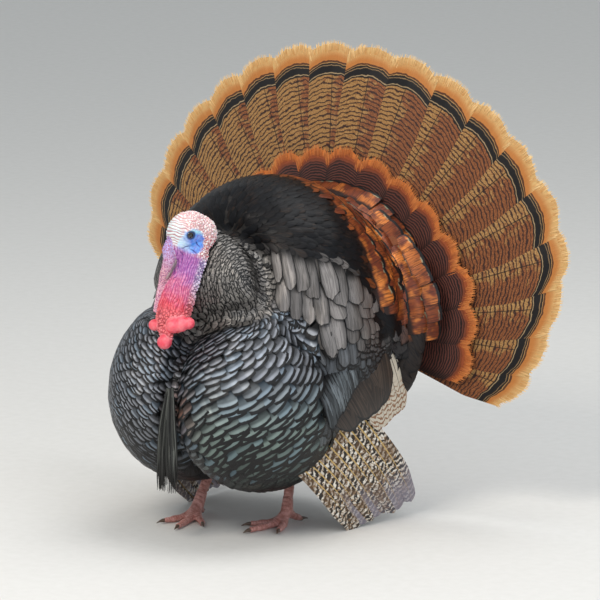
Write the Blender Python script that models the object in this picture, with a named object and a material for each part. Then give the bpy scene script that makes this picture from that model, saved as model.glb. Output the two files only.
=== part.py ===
"""A strutting wild turkey tom, standing life size: head drawn back on the neck, tail fanned, wings drooped.

Metres, +Z up. The bird faces -Y and its left side is +X. The floor is Z = 0, and the origin lies under the
middle of the bird's box.
"""

import math

import bmesh
import bpy
from mathutils import Matrix, Vector

GAP = 0.0004  # clear space between neighbouring pieces
ON_FLOOR = ((0.0, 0.0, -GAP / 2), (0.0, 0.0, -1.0))  # cuts a flat at the floor

# Trunk: feathered outline, as rounded masses (centre, half sizes, tilt about X in degrees)
BREAST_LOBE = ((0.062, -0.010, 0.210), (0.112, 0.174, 0.148), 0)
BACK_DOME = ((0.0, 0.080, 0.322), (0.186, 0.160, 0.198), 0)
NECK_RUFF = ((-0.004, -0.054, 0.364), (0.100, 0.070, 0.098), 8)
NECK_COLUMN = ((0.0, -0.056, 0.408), (0.046, 0.038, 0.056), 0)
SHOULDER = ((0.080, 0.035, 0.326), (0.080, 0.100, 0.098), 0)
BELLY = ((0.0, 0.080, 0.205), (0.140, 0.150, 0.120), 0)
RUMP = ((0.004, 0.178, 0.294), (0.211, 0.048, 0.192), -6)
RUMP_SLOPE = ((0.002, 0.128, 0.306), (0.196, 0.075, 0.194), -3)
VENT = ((0.0, 0.170, 0.170), (0.090, 0.060, 0.085), 0)
TRUNK_VOXEL = 0.007
TRUNK_FACES = 1500
NECK_MARGIN = 0.006  # how far the neck's feathers spread past the ruff

# Tail
FAN_CENTRE = Vector((0.004, 0.200, 0.275))
FAN_SWEEP = 0.150  # how far a tip lies behind the centre, for each metre of radius
RECTRICES = 18
FAN_SPAN = (-84.0, 108.0)  # degrees from straight up, positive to the bird's left: the fan leans that way
FAN_OUTLINE = (  # angle, and the radius of the tips there
    (-84, 0.378), (-79, 0.408), (-70, 0.424), (-35, 0.420), (0, 0.420), (25, 0.430), (45, 0.438),
    (62, 0.439), (72, 0.428), (80, 0.402), (91, 0.370), (101, 0.346), (108, 0.318),
)
TAIL_COVERTS = 14
COVERT_SPAN = (-80.0, 102.0)
COVERT_RADIUS = 0.262
COVERT_LIFT = 0.006
PLATE = 0.003

# Wings, given for the bird's left
PRIMARIES = 10
PRIMARY_ROOTS = (Vector((0.164, -0.030, 0.176)), Vector((0.172, 0.140, 0.200)))
PRIMARY_TIPS = (Vector((0.150, 0.083, -0.004)), Vector((0.160, 0.216, 0.020)))
SECONDARIES = 10
SECONDARY_ROOTS = (Vector((0.162, -0.010, 0.235)), Vector((0.158, 0.090, 0.320)))
SECONDARY_TIPS = (Vector((0.200, 0.020, 0.158)), Vector((0.190, 0.132, 0.238)))
WING_ARM = ((0.122, 0.070, 0.278), (0.075, 0.102, 0.130), 14)

# Head: measured from the point between the eyes as (to its left, backwards, up), before it turns about Z
HEAD_CENTRE = Vector((0.0, -0.1266, 0.459))
HEAD_TURN = math.radians(-20.0)
HEAD_LUMPS = (
    ((0.0, 0.011, -0.001), (0.0240, 0.0355, 0.0315), 0),
    ((0.0, 0.029, -0.007), (0.0235, 0.0265, 0.0300), 0),
    ((0.0, 0.030, -0.030), (0.0205, 0.0190, 0.0220), 0),
    ((0.0, -0.006, -0.018), (0.0175, 0.0205, 0.0205), 0),
    ((0.0, -0.014, -0.027), (0.0115, 0.0140, 0.0140), 0),
)
EYE_PLACE = (0.0182, 0.001, -0.0005)
EYE_RADIUS = 0.0064
BILL_UPPER = ((0.0, -0.013, -0.028), (0.0, -0.0270, -0.0665), 0.0092)
BILL_LOWER = ((0.0, -0.007, -0.037), (0.0, -0.0215, -0.0625), 0.0068)
SNOOD_LINE = (
    (0.0, -0.022, -0.010), (0.004, -0.0275, -0.022), (0.0065, -0.0265, -0.037), (0.0005, -0.0297, -0.0545),
    (-0.0094, -0.0300, -0.072), (-0.0114, -0.0343, -0.0915), (-0.0127, -0.0403, -0.1160),
)
SNOOD_RADII = (0.0060, 0.0080, 0.0085, 0.0070, 0.0048, 0.0040, 0.0032)
THROAT_LINE = (
    (0.0, 0.019, -0.012), (0.0, 0.017, -0.034), (0.0, 0.0100, -0.056), (0.0, -0.0055, -0.086),
    (0.0, -0.0153, -0.112), (0.001, -0.0205, -0.130), (0.002, -0.023, -0.143),
)
THROAT_RADII = (0.0235, 0.0285, 0.0265, 0.0256, 0.0258, 0.0220, 0.0150)
CARUNCLES = {
    "caruncle_right": (Vector((-0.027, -0.158, 0.324)), 0.0090),
    "caruncle_left": (Vector((0.012, -0.161, 0.328)), 0.0116),
    "caruncle_outer": (Vector((0.029, -0.149, 0.332)), 0.0094),
    "caruncle_lower": (Vector((-0.002, -0.166, 0.303)), 0.0110),
}

# Legs: foot, ankle and the outline of toes
FEET = {"right": (Vector((-0.075, -0.008, 0.0)), 18.0), "left": (Vector((0.056, 0.042, 0.0)), -6.0)}
HOCK_RISE = 0.150
HOCK_BACK = {"right": 0.080, "left": 0.045}
HOCK_IN = 0.012
THIGH_SHARE = 0.74  # how far up the shank the middle of the feathered cuff lies
THIGH_HALF = (0.036, 0.046, 0.056)
SHANK_RADIUS = 0.0078
TOE_RADIUS = 0.0066
TOE_HEIGHT = 0.0050
TOES = {"middle": (0.0, 0.078), "inner": (-30.0, 0.056), "outer": (33.0, 0.060), "hind": (176.0, 0.030)}
CLAW_LENGTH = 0.017
SPUR_LENGTH = 0.022

BEARD_TOP = Vector((-0.001, -0.150, 0.232))
BEARD_LENGTH = 0.156

COLOURS = {
    "bronze_feather": ("#4a4a4c", 0.45, 0.25),
    "black_feather": ("#141416", 0.45, 0.20),
    "rump_feather": ("#a8542c", 0.55, 0.10),
    "tail_feather": ("#9c6a3c", 0.60, 0.0),
    "covert_feather": ("#5c2c20", 0.60, 0.0),
    "wing_feather": ("#8c7c68", 0.60, 0.0),
    "secondary_feather": ("#574c44", 0.55, 0.05),
    "head_skin": ("#c8c4dc", 0.50, 0.0),
    "throat_skin": ("#c8648c", 0.50, 0.0),
    "caruncle_skin": ("#e8485c", 0.40, 0.0),
    "bill_horn": ("#b8a08c", 0.45, 0.0),
    "eye": ("#20140c", 0.10, 0.0),
    "leg_scale": ("#b06c60", 0.55, 0.0),
    "claw_horn": ("#3c302c", 0.40, 0.0),
    "beard_bristle": ("#2c2c2c", 0.60, 0.0),
}


def clear_scene():
    """Removes whatever the file started with."""
    for found in list(bpy.data.objects):
        bpy.data.objects.remove(found)


def srgb(value):
    """One channel from 0 to 1 in sRGB, as linear light."""
    return value / 12.92 if value <= 0.04045 else ((value + 0.055) / 1.055) ** 2.4


def finish_of(name):
    """The named material, made on first use."""
    found = bpy.data.materials.get(name)
    if found:
        return found
    code, roughness, metallic = COLOURS[name]
    made = bpy.data.materials.new(name)
    made.use_nodes = True
    shader = made.node_tree.nodes["Principled BSDF"]
    channels = [srgb(int(code[i : i + 2], 16) / 255) for i in (1, 3, 5)]
    shader.inputs["Base Color"].default_value = (*channels, 1.0)
    shader.inputs["Roughness"].default_value = roughness
    shader.inputs["Metallic"].default_value = metallic
    return made


def add(name, mesh, finish):
    """A new object in the scene with this mesh and finish, shaded smooth."""
    obj = bpy.data.objects.new(name, mesh)
    bpy.context.scene.collection.objects.link(obj)
    mesh.name = name
    mesh.materials.clear()
    mesh.materials.append(finish_of(finish))
    mesh.shade_smooth()
    return obj


def to_mesh(bm):
    """A mesh from a bmesh, which is freed."""
    mesh = bpy.data.meshes.new("shape")
    bm.to_mesh(mesh)
    bm.free()
    return mesh


def baked(obj):
    """The object's evaluated mesh in world space; the object is removed."""
    bpy.context.view_layer.update()
    graph = bpy.context.evaluated_depsgraph_get()
    mesh = bpy.data.meshes.new_from_object(obj.evaluated_get(graph))
    mesh.transform(obj.matrix_world)
    bpy.data.objects.remove(obj)
    return mesh


def placed(mass, side=1):
    """The matrix that makes a unit ball into this mass, mirrored for side -1."""
    centre, half, tilt = mass
    where = Matrix.Translation((centre[0] * side, centre[1], centre[2]))
    return where @ Matrix.Rotation(math.radians(tilt), 4, "X") @ Matrix.Diagonal((*half, 1.0))


def balls(matrices, rounds=4):
    """A bmesh of unit balls, each put through its matrix."""
    bm = bmesh.new()
    for matrix in matrices:
        bmesh.ops.create_icosphere(bm, subdivisions=rounds, radius=1.0, matrix=matrix)
    return bm


def fused(bm, voxel, rounds, faces):
    """Overlapping closed shapes made one smooth closed skin of about that many triangles."""
    obj = bpy.data.objects.new("fusing", to_mesh(bm))
    bpy.context.scene.collection.objects.link(obj)
    remesh = obj.modifiers.new("Remesh", "REMESH")
    remesh.mode = "VOXEL"
    remesh.voxel_size = voxel
    smooth = obj.modifiers.new("Smooth", "SMOOTH")
    smooth.factor = 0.5
    smooth.iterations = rounds
    obj.modifiers.new("Triangulate", "TRIANGULATE")
    mesh = baked(obj)
    if len(mesh.polygons) <= faces:
        return mesh
    obj = bpy.data.objects.new("thinning", mesh)
    bpy.context.scene.collection.objects.link(obj)
    decimate = obj.modifiers.new("Decimate", "DECIMATE")
    decimate.ratio = faces / len(mesh.polygons)
    decimate.use_collapse_triangulate = True
    return baked(obj)


def tube(points, radii, sides=10, flatten=1.0):
    """A bmesh of a closed tapering tube through the points; flatten squeezes it along Y."""
    curve = bpy.data.curves.new("line", "CURVE")
    curve.dimensions = "3D"
    curve.bevel_depth = 1.0
    curve.bevel_resolution = max(0, sides // 2 - 2)
    curve.use_fill_caps = True
    spline = curve.splines.new("POLY")
    spline.points.add(len(points) - 1)
    for knot, point, radius in zip(spline.points, points, radii):
        knot.co = (*point, 1.0)
        knot.radius = radius
    obj = bpy.data.objects.new("line", curve)
    bpy.context.scene.collection.objects.link(obj)
    bm = bmesh.new()
    bm.from_mesh(baked(obj))
    bmesh.ops.remove_doubles(bm, verts=bm.verts, dist=1e-6)
    bmesh.ops.recalc_face_normals(bm, faces=bm.faces)
    if flatten != 1.0:
        middle = sum((vert.co.y for vert in bm.verts), 0.0) / len(bm.verts)
        for vert in bm.verts:
            vert.co.y = middle + (vert.co.y - middle) * flatten
    return bm


def merged(parts):
    """One bmesh holding all of these, which are freed."""
    whole = bmesh.new()
    for part in parts:
        whole.from_mesh(to_mesh(part))
    return whole


def swollen(mesh, by):
    """A copy of a closed mesh, moved outwards along its normals."""
    bm = bmesh.new()
    bm.from_mesh(mesh)
    bm.normal_update()
    for vert, normal in [(v, v.normal.copy()) for v in bm.verts]:
        vert.co += normal * by
    return to_mesh(bm)


def helper(name, mesh):
    """A cutter that stays out of the render."""
    obj = bpy.data.objects.new(name, mesh)
    bpy.context.scene.collection.objects.link(obj)
    obj.hide_render = True
    obj.display_type = "WIRE"
    return obj


def carve(obj, cutter, operation="DIFFERENCE"):
    """Cuts the helper's shape from the object, or keeps only what lies inside it."""
    cut = obj.modifiers.new("Cut", "BOOLEAN")
    cut.operation = operation
    cut.solver = "EXACT"
    cut.object = cutter


def largest_body(mesh):
    """The mesh in clean triangles, with only its largest connected body left."""
    bm = bmesh.new()
    bm.from_mesh(mesh)
    bmesh.ops.remove_doubles(bm, verts=bm.verts, dist=1e-6)
    bmesh.ops.triangulate(bm, faces=bm.faces)
    bmesh.ops.dissolve_degenerate(bm, edges=bm.edges, dist=1e-6)
    left = set(bm.verts)
    bodies = []
    while left:
        todo = [left.pop()]
        body = set(todo)
        while todo:
            for edge in todo.pop().link_edges:
                for vert in edge.verts:
                    if vert in left:
                        left.discard(vert)
                        body.add(vert)
                        todo.append(vert)
        bodies.append(body)
    keep = max(bodies, key=len)
    bmesh.ops.delete(bm, geom=[v for v in bm.verts if v not in keep], context="VERTS")
    return to_mesh(bm)


def settle(obj, *cutters):
    """Carves the object by each cutter, bakes it and keeps its largest body under the same name."""
    name, finish = obj.name, obj.data.materials[0].name
    for cutter in cutters:
        carve(obj, cutter)
        obj = add(name, largest_body(baked(obj)), finish)
    return obj


def fit(name, mesh, finish, cutters):
    """Adds a piece cut back to clear the cutters, and adds its own cutter to them."""
    own = helper(f"{name}_envelope", swollen(mesh, GAP))
    settle(add(name, mesh, finish), *cutters)
    cutters.append(own)


def sliced(mesh, cuts):
    """The part of a closed mesh on the inner side of each (point, outward normal) plane, capped."""
    bm = bmesh.new()
    bm.from_mesh(mesh)
    for point, normal in cuts:
        normal = Vector(normal).normalized()
        geom = [*bm.verts, *bm.edges, *bm.faces]
        bmesh.ops.bisect_plane(
            bm, geom=geom, plane_co=Vector(point) - normal * GAP / 2, plane_no=normal, clear_outer=True
        )
        bmesh.ops.holes_fill(bm, edges=[e for e in bm.edges if e.is_boundary])
        bmesh.ops.triangulate(bm, faces=[f for f in bm.faces if len(f.verts) > 3])
    return to_mesh(bm)


def vane_plate(roots, tips, count, steps, scallop, bow, ridge, lift=0.0, per_vane=3):
    """A row of overlapping vanes as one thin plate.

    roots and tips give the points at a share from 0 to 1 across the row; scallop is how far the edge dips
    between two tips, bow how far the plate arches, and ridge how far each shaft stands proud.
    """
    bm = bmesh.new()
    bmesh.ops.create_grid(bm, x_segments=count * per_vane, y_segments=steps, size=0.5)
    step = 1e-3
    for vert in bm.verts:
        across, along = vert.co.x + 0.5, vert.co.y + 0.5
        near, far = max(0.0, across - step), min(1.0, across + step)
        root, tip = roots(across), tips(across)
        length = (tip - root).length
        side = roots(far).lerp(tips(far), 0.5) - roots(near).lerp(tips(near), 0.5)
        normal = side.cross(tip - root).normalized()
        place = (across * count) % 1.0 * 2.0 - 1.0
        dip = scallop * (1.0 - math.sqrt(max(0.0, 1.0 - (0.96 * place) ** 2)))
        along *= 1.0 - dip / length
        out = bow * math.sin(math.pi * along) + ridge * (1.0 - abs(place)) * along + lift
        vert.co = root.lerp(tip, along) + normal * out
    bmesh.ops.recalc_face_normals(bm, faces=bm.faces)
    return to_mesh(bm)


def thickened(sheet, thickness):
    """A mesh of the sheet with an even thickness, half to each side."""
    obj = bpy.data.objects.new("sheet", sheet)
    bpy.context.scene.collection.objects.link(obj)
    wall = obj.modifiers.new("Solidify", "SOLIDIFY")
    wall.thickness = thickness
    wall.offset = 0.0
    return baked(obj)


def build_trunk():
    """Neck, breast halves, back, belly and rump, parted from one feathered body. Returns its envelope."""
    pairs = [placed(mass, side) for mass in (BREAST_LOBE, SHOULDER) for side in (-1, 1)]
    singles = [placed(m) for m in (BACK_DOME, NECK_RUFF, NECK_COLUMN, BELLY, RUMP_SLOPE, RUMP, VENT)]
    whole = fused(balls(pairs + singles), TRUNK_VOXEL, 4, TRUNK_FACES)
    back_cut = (Vector((0, 0.0, 0.315)), Vector((0, 0.12, 0.99)))
    belly_cut = (Vector((0, 0.075, 0.20)), Vector((0, 0.98, -0.18)))
    rump_cut = (Vector((0, 0.152, 0.300)), Vector((0, 1, -0.06)))

    def outside(cut):
        return (cut[0], -cut[1])

    ruff = fused(balls([placed(NECK_RUFF), placed(NECK_COLUMN)]), TRUNK_VOXEL, 3, 300)
    neck = add("neck", whole.copy(), "bronze_feather")
    carve(neck, helper("neck_region", swollen(ruff, NECK_MARGIN)), "INTERSECT")
    add("neck", largest_body(baked(neck)), "bronze_feather")
    rest = add("rest", whole.copy(), "bronze_feather")
    rest = settle(rest, helper("neck_region_wide", swollen(ruff, NECK_MARGIN + GAP)))
    parts = {
        "back": ([outside(back_cut), rump_cut], "black_feather"),
        "rump": ([outside(rump_cut), outside(back_cut)], "rump_feather"),
        "belly": ([back_cut, outside(belly_cut)], "black_feather"),
        "breast_left": ([back_cut, belly_cut, ((0, 0, 0), (-1, 0, 0))], "bronze_feather"),
        "breast_right": ([back_cut, belly_cut, ((0, 0, 0), (1, 0, 0))], "bronze_feather"),
    }
    for name, (cuts, finish) in parts.items():
        add(name, largest_body(sliced(rest.data, cuts)), finish)
    bpy.data.objects.remove(rest)
    return helper("trunk_envelope", swollen(whole, GAP))


def between(pairs, key):
    """The value at key, between the neighbouring (key, value) pairs."""
    for (low, first), (high, second) in zip(pairs, pairs[1:]):
        if key <= high:
            return first + (second - first) * (key - low) / (high - low)
    return pairs[-1][1]


def on_fan(span, share, radius=None):
    """The point at a share of the span round the fan: on its outline, or at this radius."""
    angle = span[0] + (span[1] - span[0]) * share
    reach = between(FAN_OUTLINE, angle) if radius is None else radius
    turn = math.radians(angle)
    return FAN_CENTRE + Vector((math.sin(turn), FAN_SWEEP, math.cos(turn))) * reach


def build_tail(trunk):
    """The fan of rectrices and the long upper tail coverts that lie on its front."""
    sheet = vane_plate(
        lambda share: on_fan(FAN_SPAN, share, 0.05), lambda share: on_fan(FAN_SPAN, share),
        RECTRICES, 2, scallop=0.016, bow=0.0, ridge=0.0015,
    )
    cutters = [trunk]
    fit("tail_fan", thickened(sheet, PLATE), "tail_feather", cutters)
    sheet = vane_plate(
        lambda share: on_fan(COVERT_SPAN, share, 0.10),
        lambda share: on_fan(COVERT_SPAN, share, COVERT_RADIUS),
        TAIL_COVERTS, 2, scallop=0.014, bow=0.004, ridge=0.001, lift=COVERT_LIFT,
    )
    fit("tail_coverts", thickened(sheet, PLATE), "covert_feather", cutters)


def along(ends, side):
    """A function from a share to the point that far between the two ends, mirrored for side -1."""
    first, last = (Vector((end.x * side, end.y, end.z)) for end in ends)
    return lambda share: first.lerp(last, share)


def build_wing(word, side, trunk):
    """One drooped wing: the covert-clad arm, the secondaries and the primaries that reach the floor."""
    cutters = [trunk]
    fit(f"wing_{word}_arm", fused(balls([placed(WING_ARM, side)]), 0.012, 2, 280), "bronze_feather", cutters)
    sheet = vane_plate(
        along(SECONDARY_ROOTS, side), along(SECONDARY_TIPS, side),
        SECONDARIES, 2, 0.008, 0.012 * side, 0.0, per_vane=2,
    )
    fit(f"wing_{word}_secondaries", thickened(sheet, PLATE), "secondary_feather", cutters)
    sheet = vane_plate(
        along(PRIMARY_ROOTS, side), along(PRIMARY_TIPS, side),
        PRIMARIES, 3, 0.010, 0.012 * side, 0.0, per_vane=2,
    )
    primaries = sliced(thickened(sheet, PLATE), [ON_FLOOR])
    fit(f"wing_{word}_primaries", primaries, "wing_feather", cutters)


def head_matrix():
    """From the head's own axes to the bird's."""
    return Matrix.Translation(HEAD_CENTRE) @ Matrix.Rotation(HEAD_TURN, 4, "Z")


def build_bill(frame, cutters):
    """Upper and lower bill, each a tapering horn that arches a little."""
    for name, (base, tip, radius) in {"bill_upper": BILL_UPPER, "bill_lower": BILL_LOWER}.items():
        line, widths = [], []
        for step in range(7):
            share = step / 6
            arch = Vector((0, -0.0035, 0)) * math.sin(math.pi * share)
            line.append(frame @ (Vector(base).lerp(Vector(tip), share) + arch))
            widths.append(radius * (1 - 0.80 * share**2.2))
        fit(name, fused(tube(line, widths, 12), 0.0016, 2, 120), "bill_horn", cutters)


def build_head(trunk):
    """Head, bill, eyes, snood, bare throat and the caruncles on the breast. Returns their cutters."""
    frame = head_matrix()
    cutters = [trunk]
    skull = balls([frame @ placed(lump) for lump in HEAD_LUMPS])
    fit("head", fused(skull, 0.0032, 3, 440), "head_skin", cutters)
    for word, side in (("left", 1), ("right", -1)):
        x, y, z = EYE_PLACE
        ball = balls([frame @ placed(((x * side, y, z), (EYE_RADIUS,) * 3, 0))], 2)
        fit(f"eye_{word}", to_mesh(ball), "eye", [cutters[1]])
    throat = tube([frame @ Vector(knot) for knot in THROAT_LINE], THROAT_RADII, 16)
    fit("throat", fused(throat, 0.004, 3, 180), "throat_skin", cutters)
    build_bill(frame, cutters)
    line = [frame @ Vector(knot) for knot in SNOOD_LINE]
    fit("snood", fused(tube(line, SNOOD_RADII, 12), 0.0022, 2, 160), "throat_skin", cutters)
    for name, (centre, radius) in CARUNCLES.items():
        ball = balls([placed((centre, (radius, radius, radius * 0.95), 0))], 2)
        fit(name, to_mesh(ball), "caruncle_skin", cutters)
    return cutters


def build_leg(word, side, trunk):
    """One leg: feathered thigh, scaled shank, foot with four toes, claws and spur."""
    foot_at, toe_out = FEET[word]
    ankle = foot_at + Vector((0, 0.004, 0.020))
    hock = foot_at + Vector((-HOCK_IN * side, HOCK_BACK[word], HOCK_RISE))
    cuff = ankle.lerp(hock, THIGH_SHARE)
    cutters = [trunk]
    thigh = fused(balls([placed((cuff, THIGH_HALF, -20))], 3), 0.006, 2, 260)
    fit(f"thigh_{word}", thigh, "black_feather", cutters)

    toes = []
    tips = {}
    for name, (turn, length) in TOES.items():
        angle = math.radians(turn * side + toe_out)
        way = Vector((math.sin(angle), -math.cos(angle), 0))
        rise = 0.012 if name == "hind" else 0.0
        line, widths = [ankle], [TOE_RADIUS * 1.1]
        for step in range(1, 7):
            share = step / 6
            pad = 1.0 + 0.10 * math.cos(share * 6 * math.pi)
            drop = (ankle.z - TOE_HEIGHT) * max(0.0, 1 - share * 2.6) ** 1.5
            height = TOE_HEIGHT + drop + rise * (1 - share)
            line.append(Vector((ankle.x, ankle.y, 0)) + way * length * share + Vector((0, 0, height)))
            widths.append(TOE_RADIUS * pad * (1 - 0.34 * share))
        toes.append(tube(line, widths, 12))
        tips[name] = (line[-1], way, widths[-1])
    foot_top = ankle.lerp(hock, 0.16)
    toes.append(tube([ankle + Vector((0, 0, -0.006)), foot_top], [0.0098, SHANK_RADIUS * 1.02], 14))
    foot = fused(merged(toes), 0.0024, 2, 330)
    foot = sliced(foot, [ON_FLOOR, (foot_top, hock - ankle)])
    fit(f"foot_{word}", largest_body(foot), "leg_scale", cutters)

    shank = tube([foot_top, foot_top.lerp(hock, 0.35), hock.lerp(foot_top, 0.12), hock],
                 [SHANK_RADIUS, SHANK_RADIUS * 0.92, SHANK_RADIUS * 1.1, SHANK_RADIUS * 1.35], 12)
    shank = fused(shank, 0.0035, 1, 220)
    shank = sliced(shank, [(foot_top + (hock - ankle).normalized() * GAP, ankle - hock)])
    fit(f"shank_{word}", shank, "leg_scale", cutters)

    for name, (tip, way, width) in tips.items():
        line, widths = [], []
        for step in range(4):
            share = step / 3
            sag = 0.0012 * math.sin(share * math.pi) - 0.0022 * share
            line.append(tip + way * (CLAW_LENGTH * share - 0.003) + Vector((0, 0, sag)))
            widths.append(max(0.0006, width * 0.86 * (1 - share) ** 0.8))
        claw = sliced(to_mesh(tube(line, widths, 6)), [ON_FLOOR])
        fit(f"claw_{word}_{name}", claw, "claw_horn", cutters)
    root = foot_top.lerp(hock, 0.16)
    way = Vector((-0.35 * side, 0.92, 0.18)).normalized() * (SPUR_LENGTH + SHANK_RADIUS)
    line = [root + way * step / 3 + Vector((0, 0, 0.004 * (step / 3) ** 2)) for step in range(4)]
    spur = to_mesh(tube(line, [0.0052, 0.0043, 0.0028, 0.0007], 6))
    fit(f"spur_{word}", spur, "claw_horn", cutters)


def build_beard(cutters):
    """The bristly beard that hangs from the furrow between the breast halves."""
    line, widths = [], []
    for step in range(8):
        share = step / 7
        bend = Vector((0.003 * math.sin(share * 3), -0.022 * math.sin(share * 1.9), -BEARD_LENGTH * share))
        line.append(BEARD_TOP + bend)
        widths.append(0.0085 + 0.0055 * math.sin(math.pi * share**0.8) if step < 7 else 0.0065)
    fit("beard", to_mesh(tube(line, widths, 8, flatten=0.75)), "beard_bristle", cutters)


def centre_on_origin():
    """Parents every piece to one empty, moved so that the origin lies under the middle of the box."""
    bpy.context.view_layer.update()
    pieces = [obj for obj in bpy.data.objects if not obj.hide_render]
    corners = [obj.matrix_world @ Vector(corner) for obj in pieces for corner in obj.bound_box]
    middle = [(max(c[i] for c in corners) + min(c[i] for c in corners)) / 2 for i in (0, 1)]
    frame = bpy.data.objects.new("turkey_frame", None)
    bpy.context.scene.collection.objects.link(frame)
    for obj in pieces:
        obj.parent = frame
    frame.location = (-middle[0], -middle[1], -min(c.z for c in corners))
    print("shifted by", [round(x, 5) for x in frame.location])


def main():
    """Builds the whole bird."""
    clear_scene()
    trunk = build_trunk()
    build_tail(trunk)
    for word, side in (("left", 1), ("right", -1)):
        build_wing(word, side, trunk)
        build_leg(word, side, trunk)
    build_beard(build_head(trunk))
    centre_on_origin()


main()
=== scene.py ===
"""Looks of a life-size wild turkey in full strut: skin, plumage, naked head, horn and beard.

Lengths are in metres. Places are given on the bird's own axes, x to its left, y to its rear and z up, and
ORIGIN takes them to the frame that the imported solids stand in.
"""

import logging
import math
from collections.abc import Callable, Sequence
from dataclasses import dataclass, field, replace
from enum import Enum

import bmesh
import bpy
import numpy as np
from mathutils import Matrix, Vector, noise
from mathutils.bvhtree import BVHTree
from numpy.linalg import norm


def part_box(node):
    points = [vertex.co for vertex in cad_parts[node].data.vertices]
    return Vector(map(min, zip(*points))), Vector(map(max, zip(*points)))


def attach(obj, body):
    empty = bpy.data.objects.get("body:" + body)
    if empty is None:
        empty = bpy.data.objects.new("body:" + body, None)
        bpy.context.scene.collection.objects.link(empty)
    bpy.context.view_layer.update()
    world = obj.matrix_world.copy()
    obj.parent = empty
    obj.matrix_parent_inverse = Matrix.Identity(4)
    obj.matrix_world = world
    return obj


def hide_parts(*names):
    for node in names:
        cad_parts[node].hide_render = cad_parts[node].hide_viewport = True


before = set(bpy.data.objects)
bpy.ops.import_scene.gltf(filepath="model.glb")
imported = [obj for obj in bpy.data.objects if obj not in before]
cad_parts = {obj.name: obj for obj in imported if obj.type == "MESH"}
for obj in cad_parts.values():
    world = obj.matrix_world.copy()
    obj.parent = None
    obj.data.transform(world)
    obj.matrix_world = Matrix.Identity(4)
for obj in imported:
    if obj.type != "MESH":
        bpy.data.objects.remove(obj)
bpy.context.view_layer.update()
ORIGIN = np.array((-0.00685, -0.04159, 0.0))
MERGE_DISTANCE = 1e-5
RAY = 0.4  # how far outside the body a ray starts
SUNK = 0.001  # how deep a root sits in the skin
LOG = logging.getLogger("turkey")
Array = np.ndarray
Place = tuple[float, float, float]
Mesh = bpy.types.Mesh
Material = bpy.types.Material


# ---- small tools


class Side(Enum):
    """The two sides of the bird, with the sign that x has there."""

    LEFT = 1
    RIGHT = -1

    @property
    def word(self) -> str:
        """The side's name as the solids' names have it."""
        return self.name.lower()


def spot(x: float, y: float, z: float) -> Array:
    """A place on the bird's own axes, in the frame's."""
    return np.array((x, y, z)) + ORIGIN


def unit(vectors: Array) -> Array:
    """Vectors along the last axis brought to length 1."""
    return vectors / np.maximum(norm(vectors, axis=-1, keepdims=True), 1e-12)


def square_to(way: Array, normal: Array) -> Array:
    """Ways turned until they stand square to the normals, at length 1."""
    return unit(way - normal * (way * normal).sum(axis=-1, keepdims=True))


def smooth(low: float, high: float, value: Array) -> Array:
    """An eased step from 0 at low to 1 at high."""
    share = np.clip((value - low) / (high - low), 0.0, 1.0)
    return share * share * (3.0 - 2.0 * share)


def linear(code: str) -> tuple[float, float, float, float]:
    """A colour written as sRGB hex, as linear red, green, blue and alpha."""
    shares = [int(code[i : i + 2], 16) / 255.0 for i in (1, 3, 5)]
    r, g, b = (s / 12.92 if s <= 0.04045 else ((s + 0.055) / 1.055) ** 2.4 for s in shares)
    return r, g, b, 1.0


def linear3(code: str) -> Array:
    """The same colour as an array of three, for mixing by place."""
    return np.array(linear(code)[:3])


class Value:
    """A number or colour at each point of a material; its sums, steps and mixes add nodes."""

    def __init__(self, shade: "Shade", socket: bpy.types.NodeSocket) -> None:
        """Wraps one socket of the material."""
        self.shade, self.socket = shade, socket

    def sum(self, operation: str, *values: object) -> "Value":
        """The result of one arithmetic step on this value and others."""
        return self.shade.value("ShaderNodeMath", dict(enumerate((self, *values))), operation=operation)

    def __add__(self, other: object) -> "Value":
        """This value and another."""
        return self.sum("ADD", other)

    def __sub__(self, other: object) -> "Value":
        """This value less another."""
        return self.sum("SUBTRACT", other)

    def __rsub__(self, other: float) -> "Value":
        """A number less this value."""
        return self.sum("MULTIPLY_ADD", -1.0, other)

    def __mul__(self, other: object) -> "Value":
        """This value times another."""
        return self.sum("MULTIPLY", other)

    def __truediv__(self, other: object) -> "Value":
        """This value over another."""
        return self.sum("DIVIDE", other)

    def __pow__(self, other: float) -> "Value":
        """This value to a power."""
        return self.sum("POWER", other)

    def __abs__(self) -> "Value":
        """This value without its sign."""
        return self.sum("ABSOLUTE")

    def step(self, low: float, high: float) -> "Value":
        """0 below low, 1 above high, eased between; falling where low is above high."""
        start, end = (0.0, 1.0) if low < high else (1.0, 0.0)
        inputs = {"Value": self, "From Min": min(low, high), "From Max": max(low, high), "To Min": start,
                  "To Max": end}
        return self.shade.value("ShaderNodeMapRange", inputs, interpolation_type="SMOOTHSTEP")

    def mix(self, low: object, high: object, part: float = 1.0) -> "Value":
        """Two colours, each hex or a value, mixed by this value times part."""
        share = self if part == 1.0 else self * part
        low, high = (linear(end) if isinstance(end, str) else end for end in (low, high))
        return self.shade.value("ShaderNodeMix", {0: share, 6: low, 7: high}, 2, data_type="RGBA")


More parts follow.
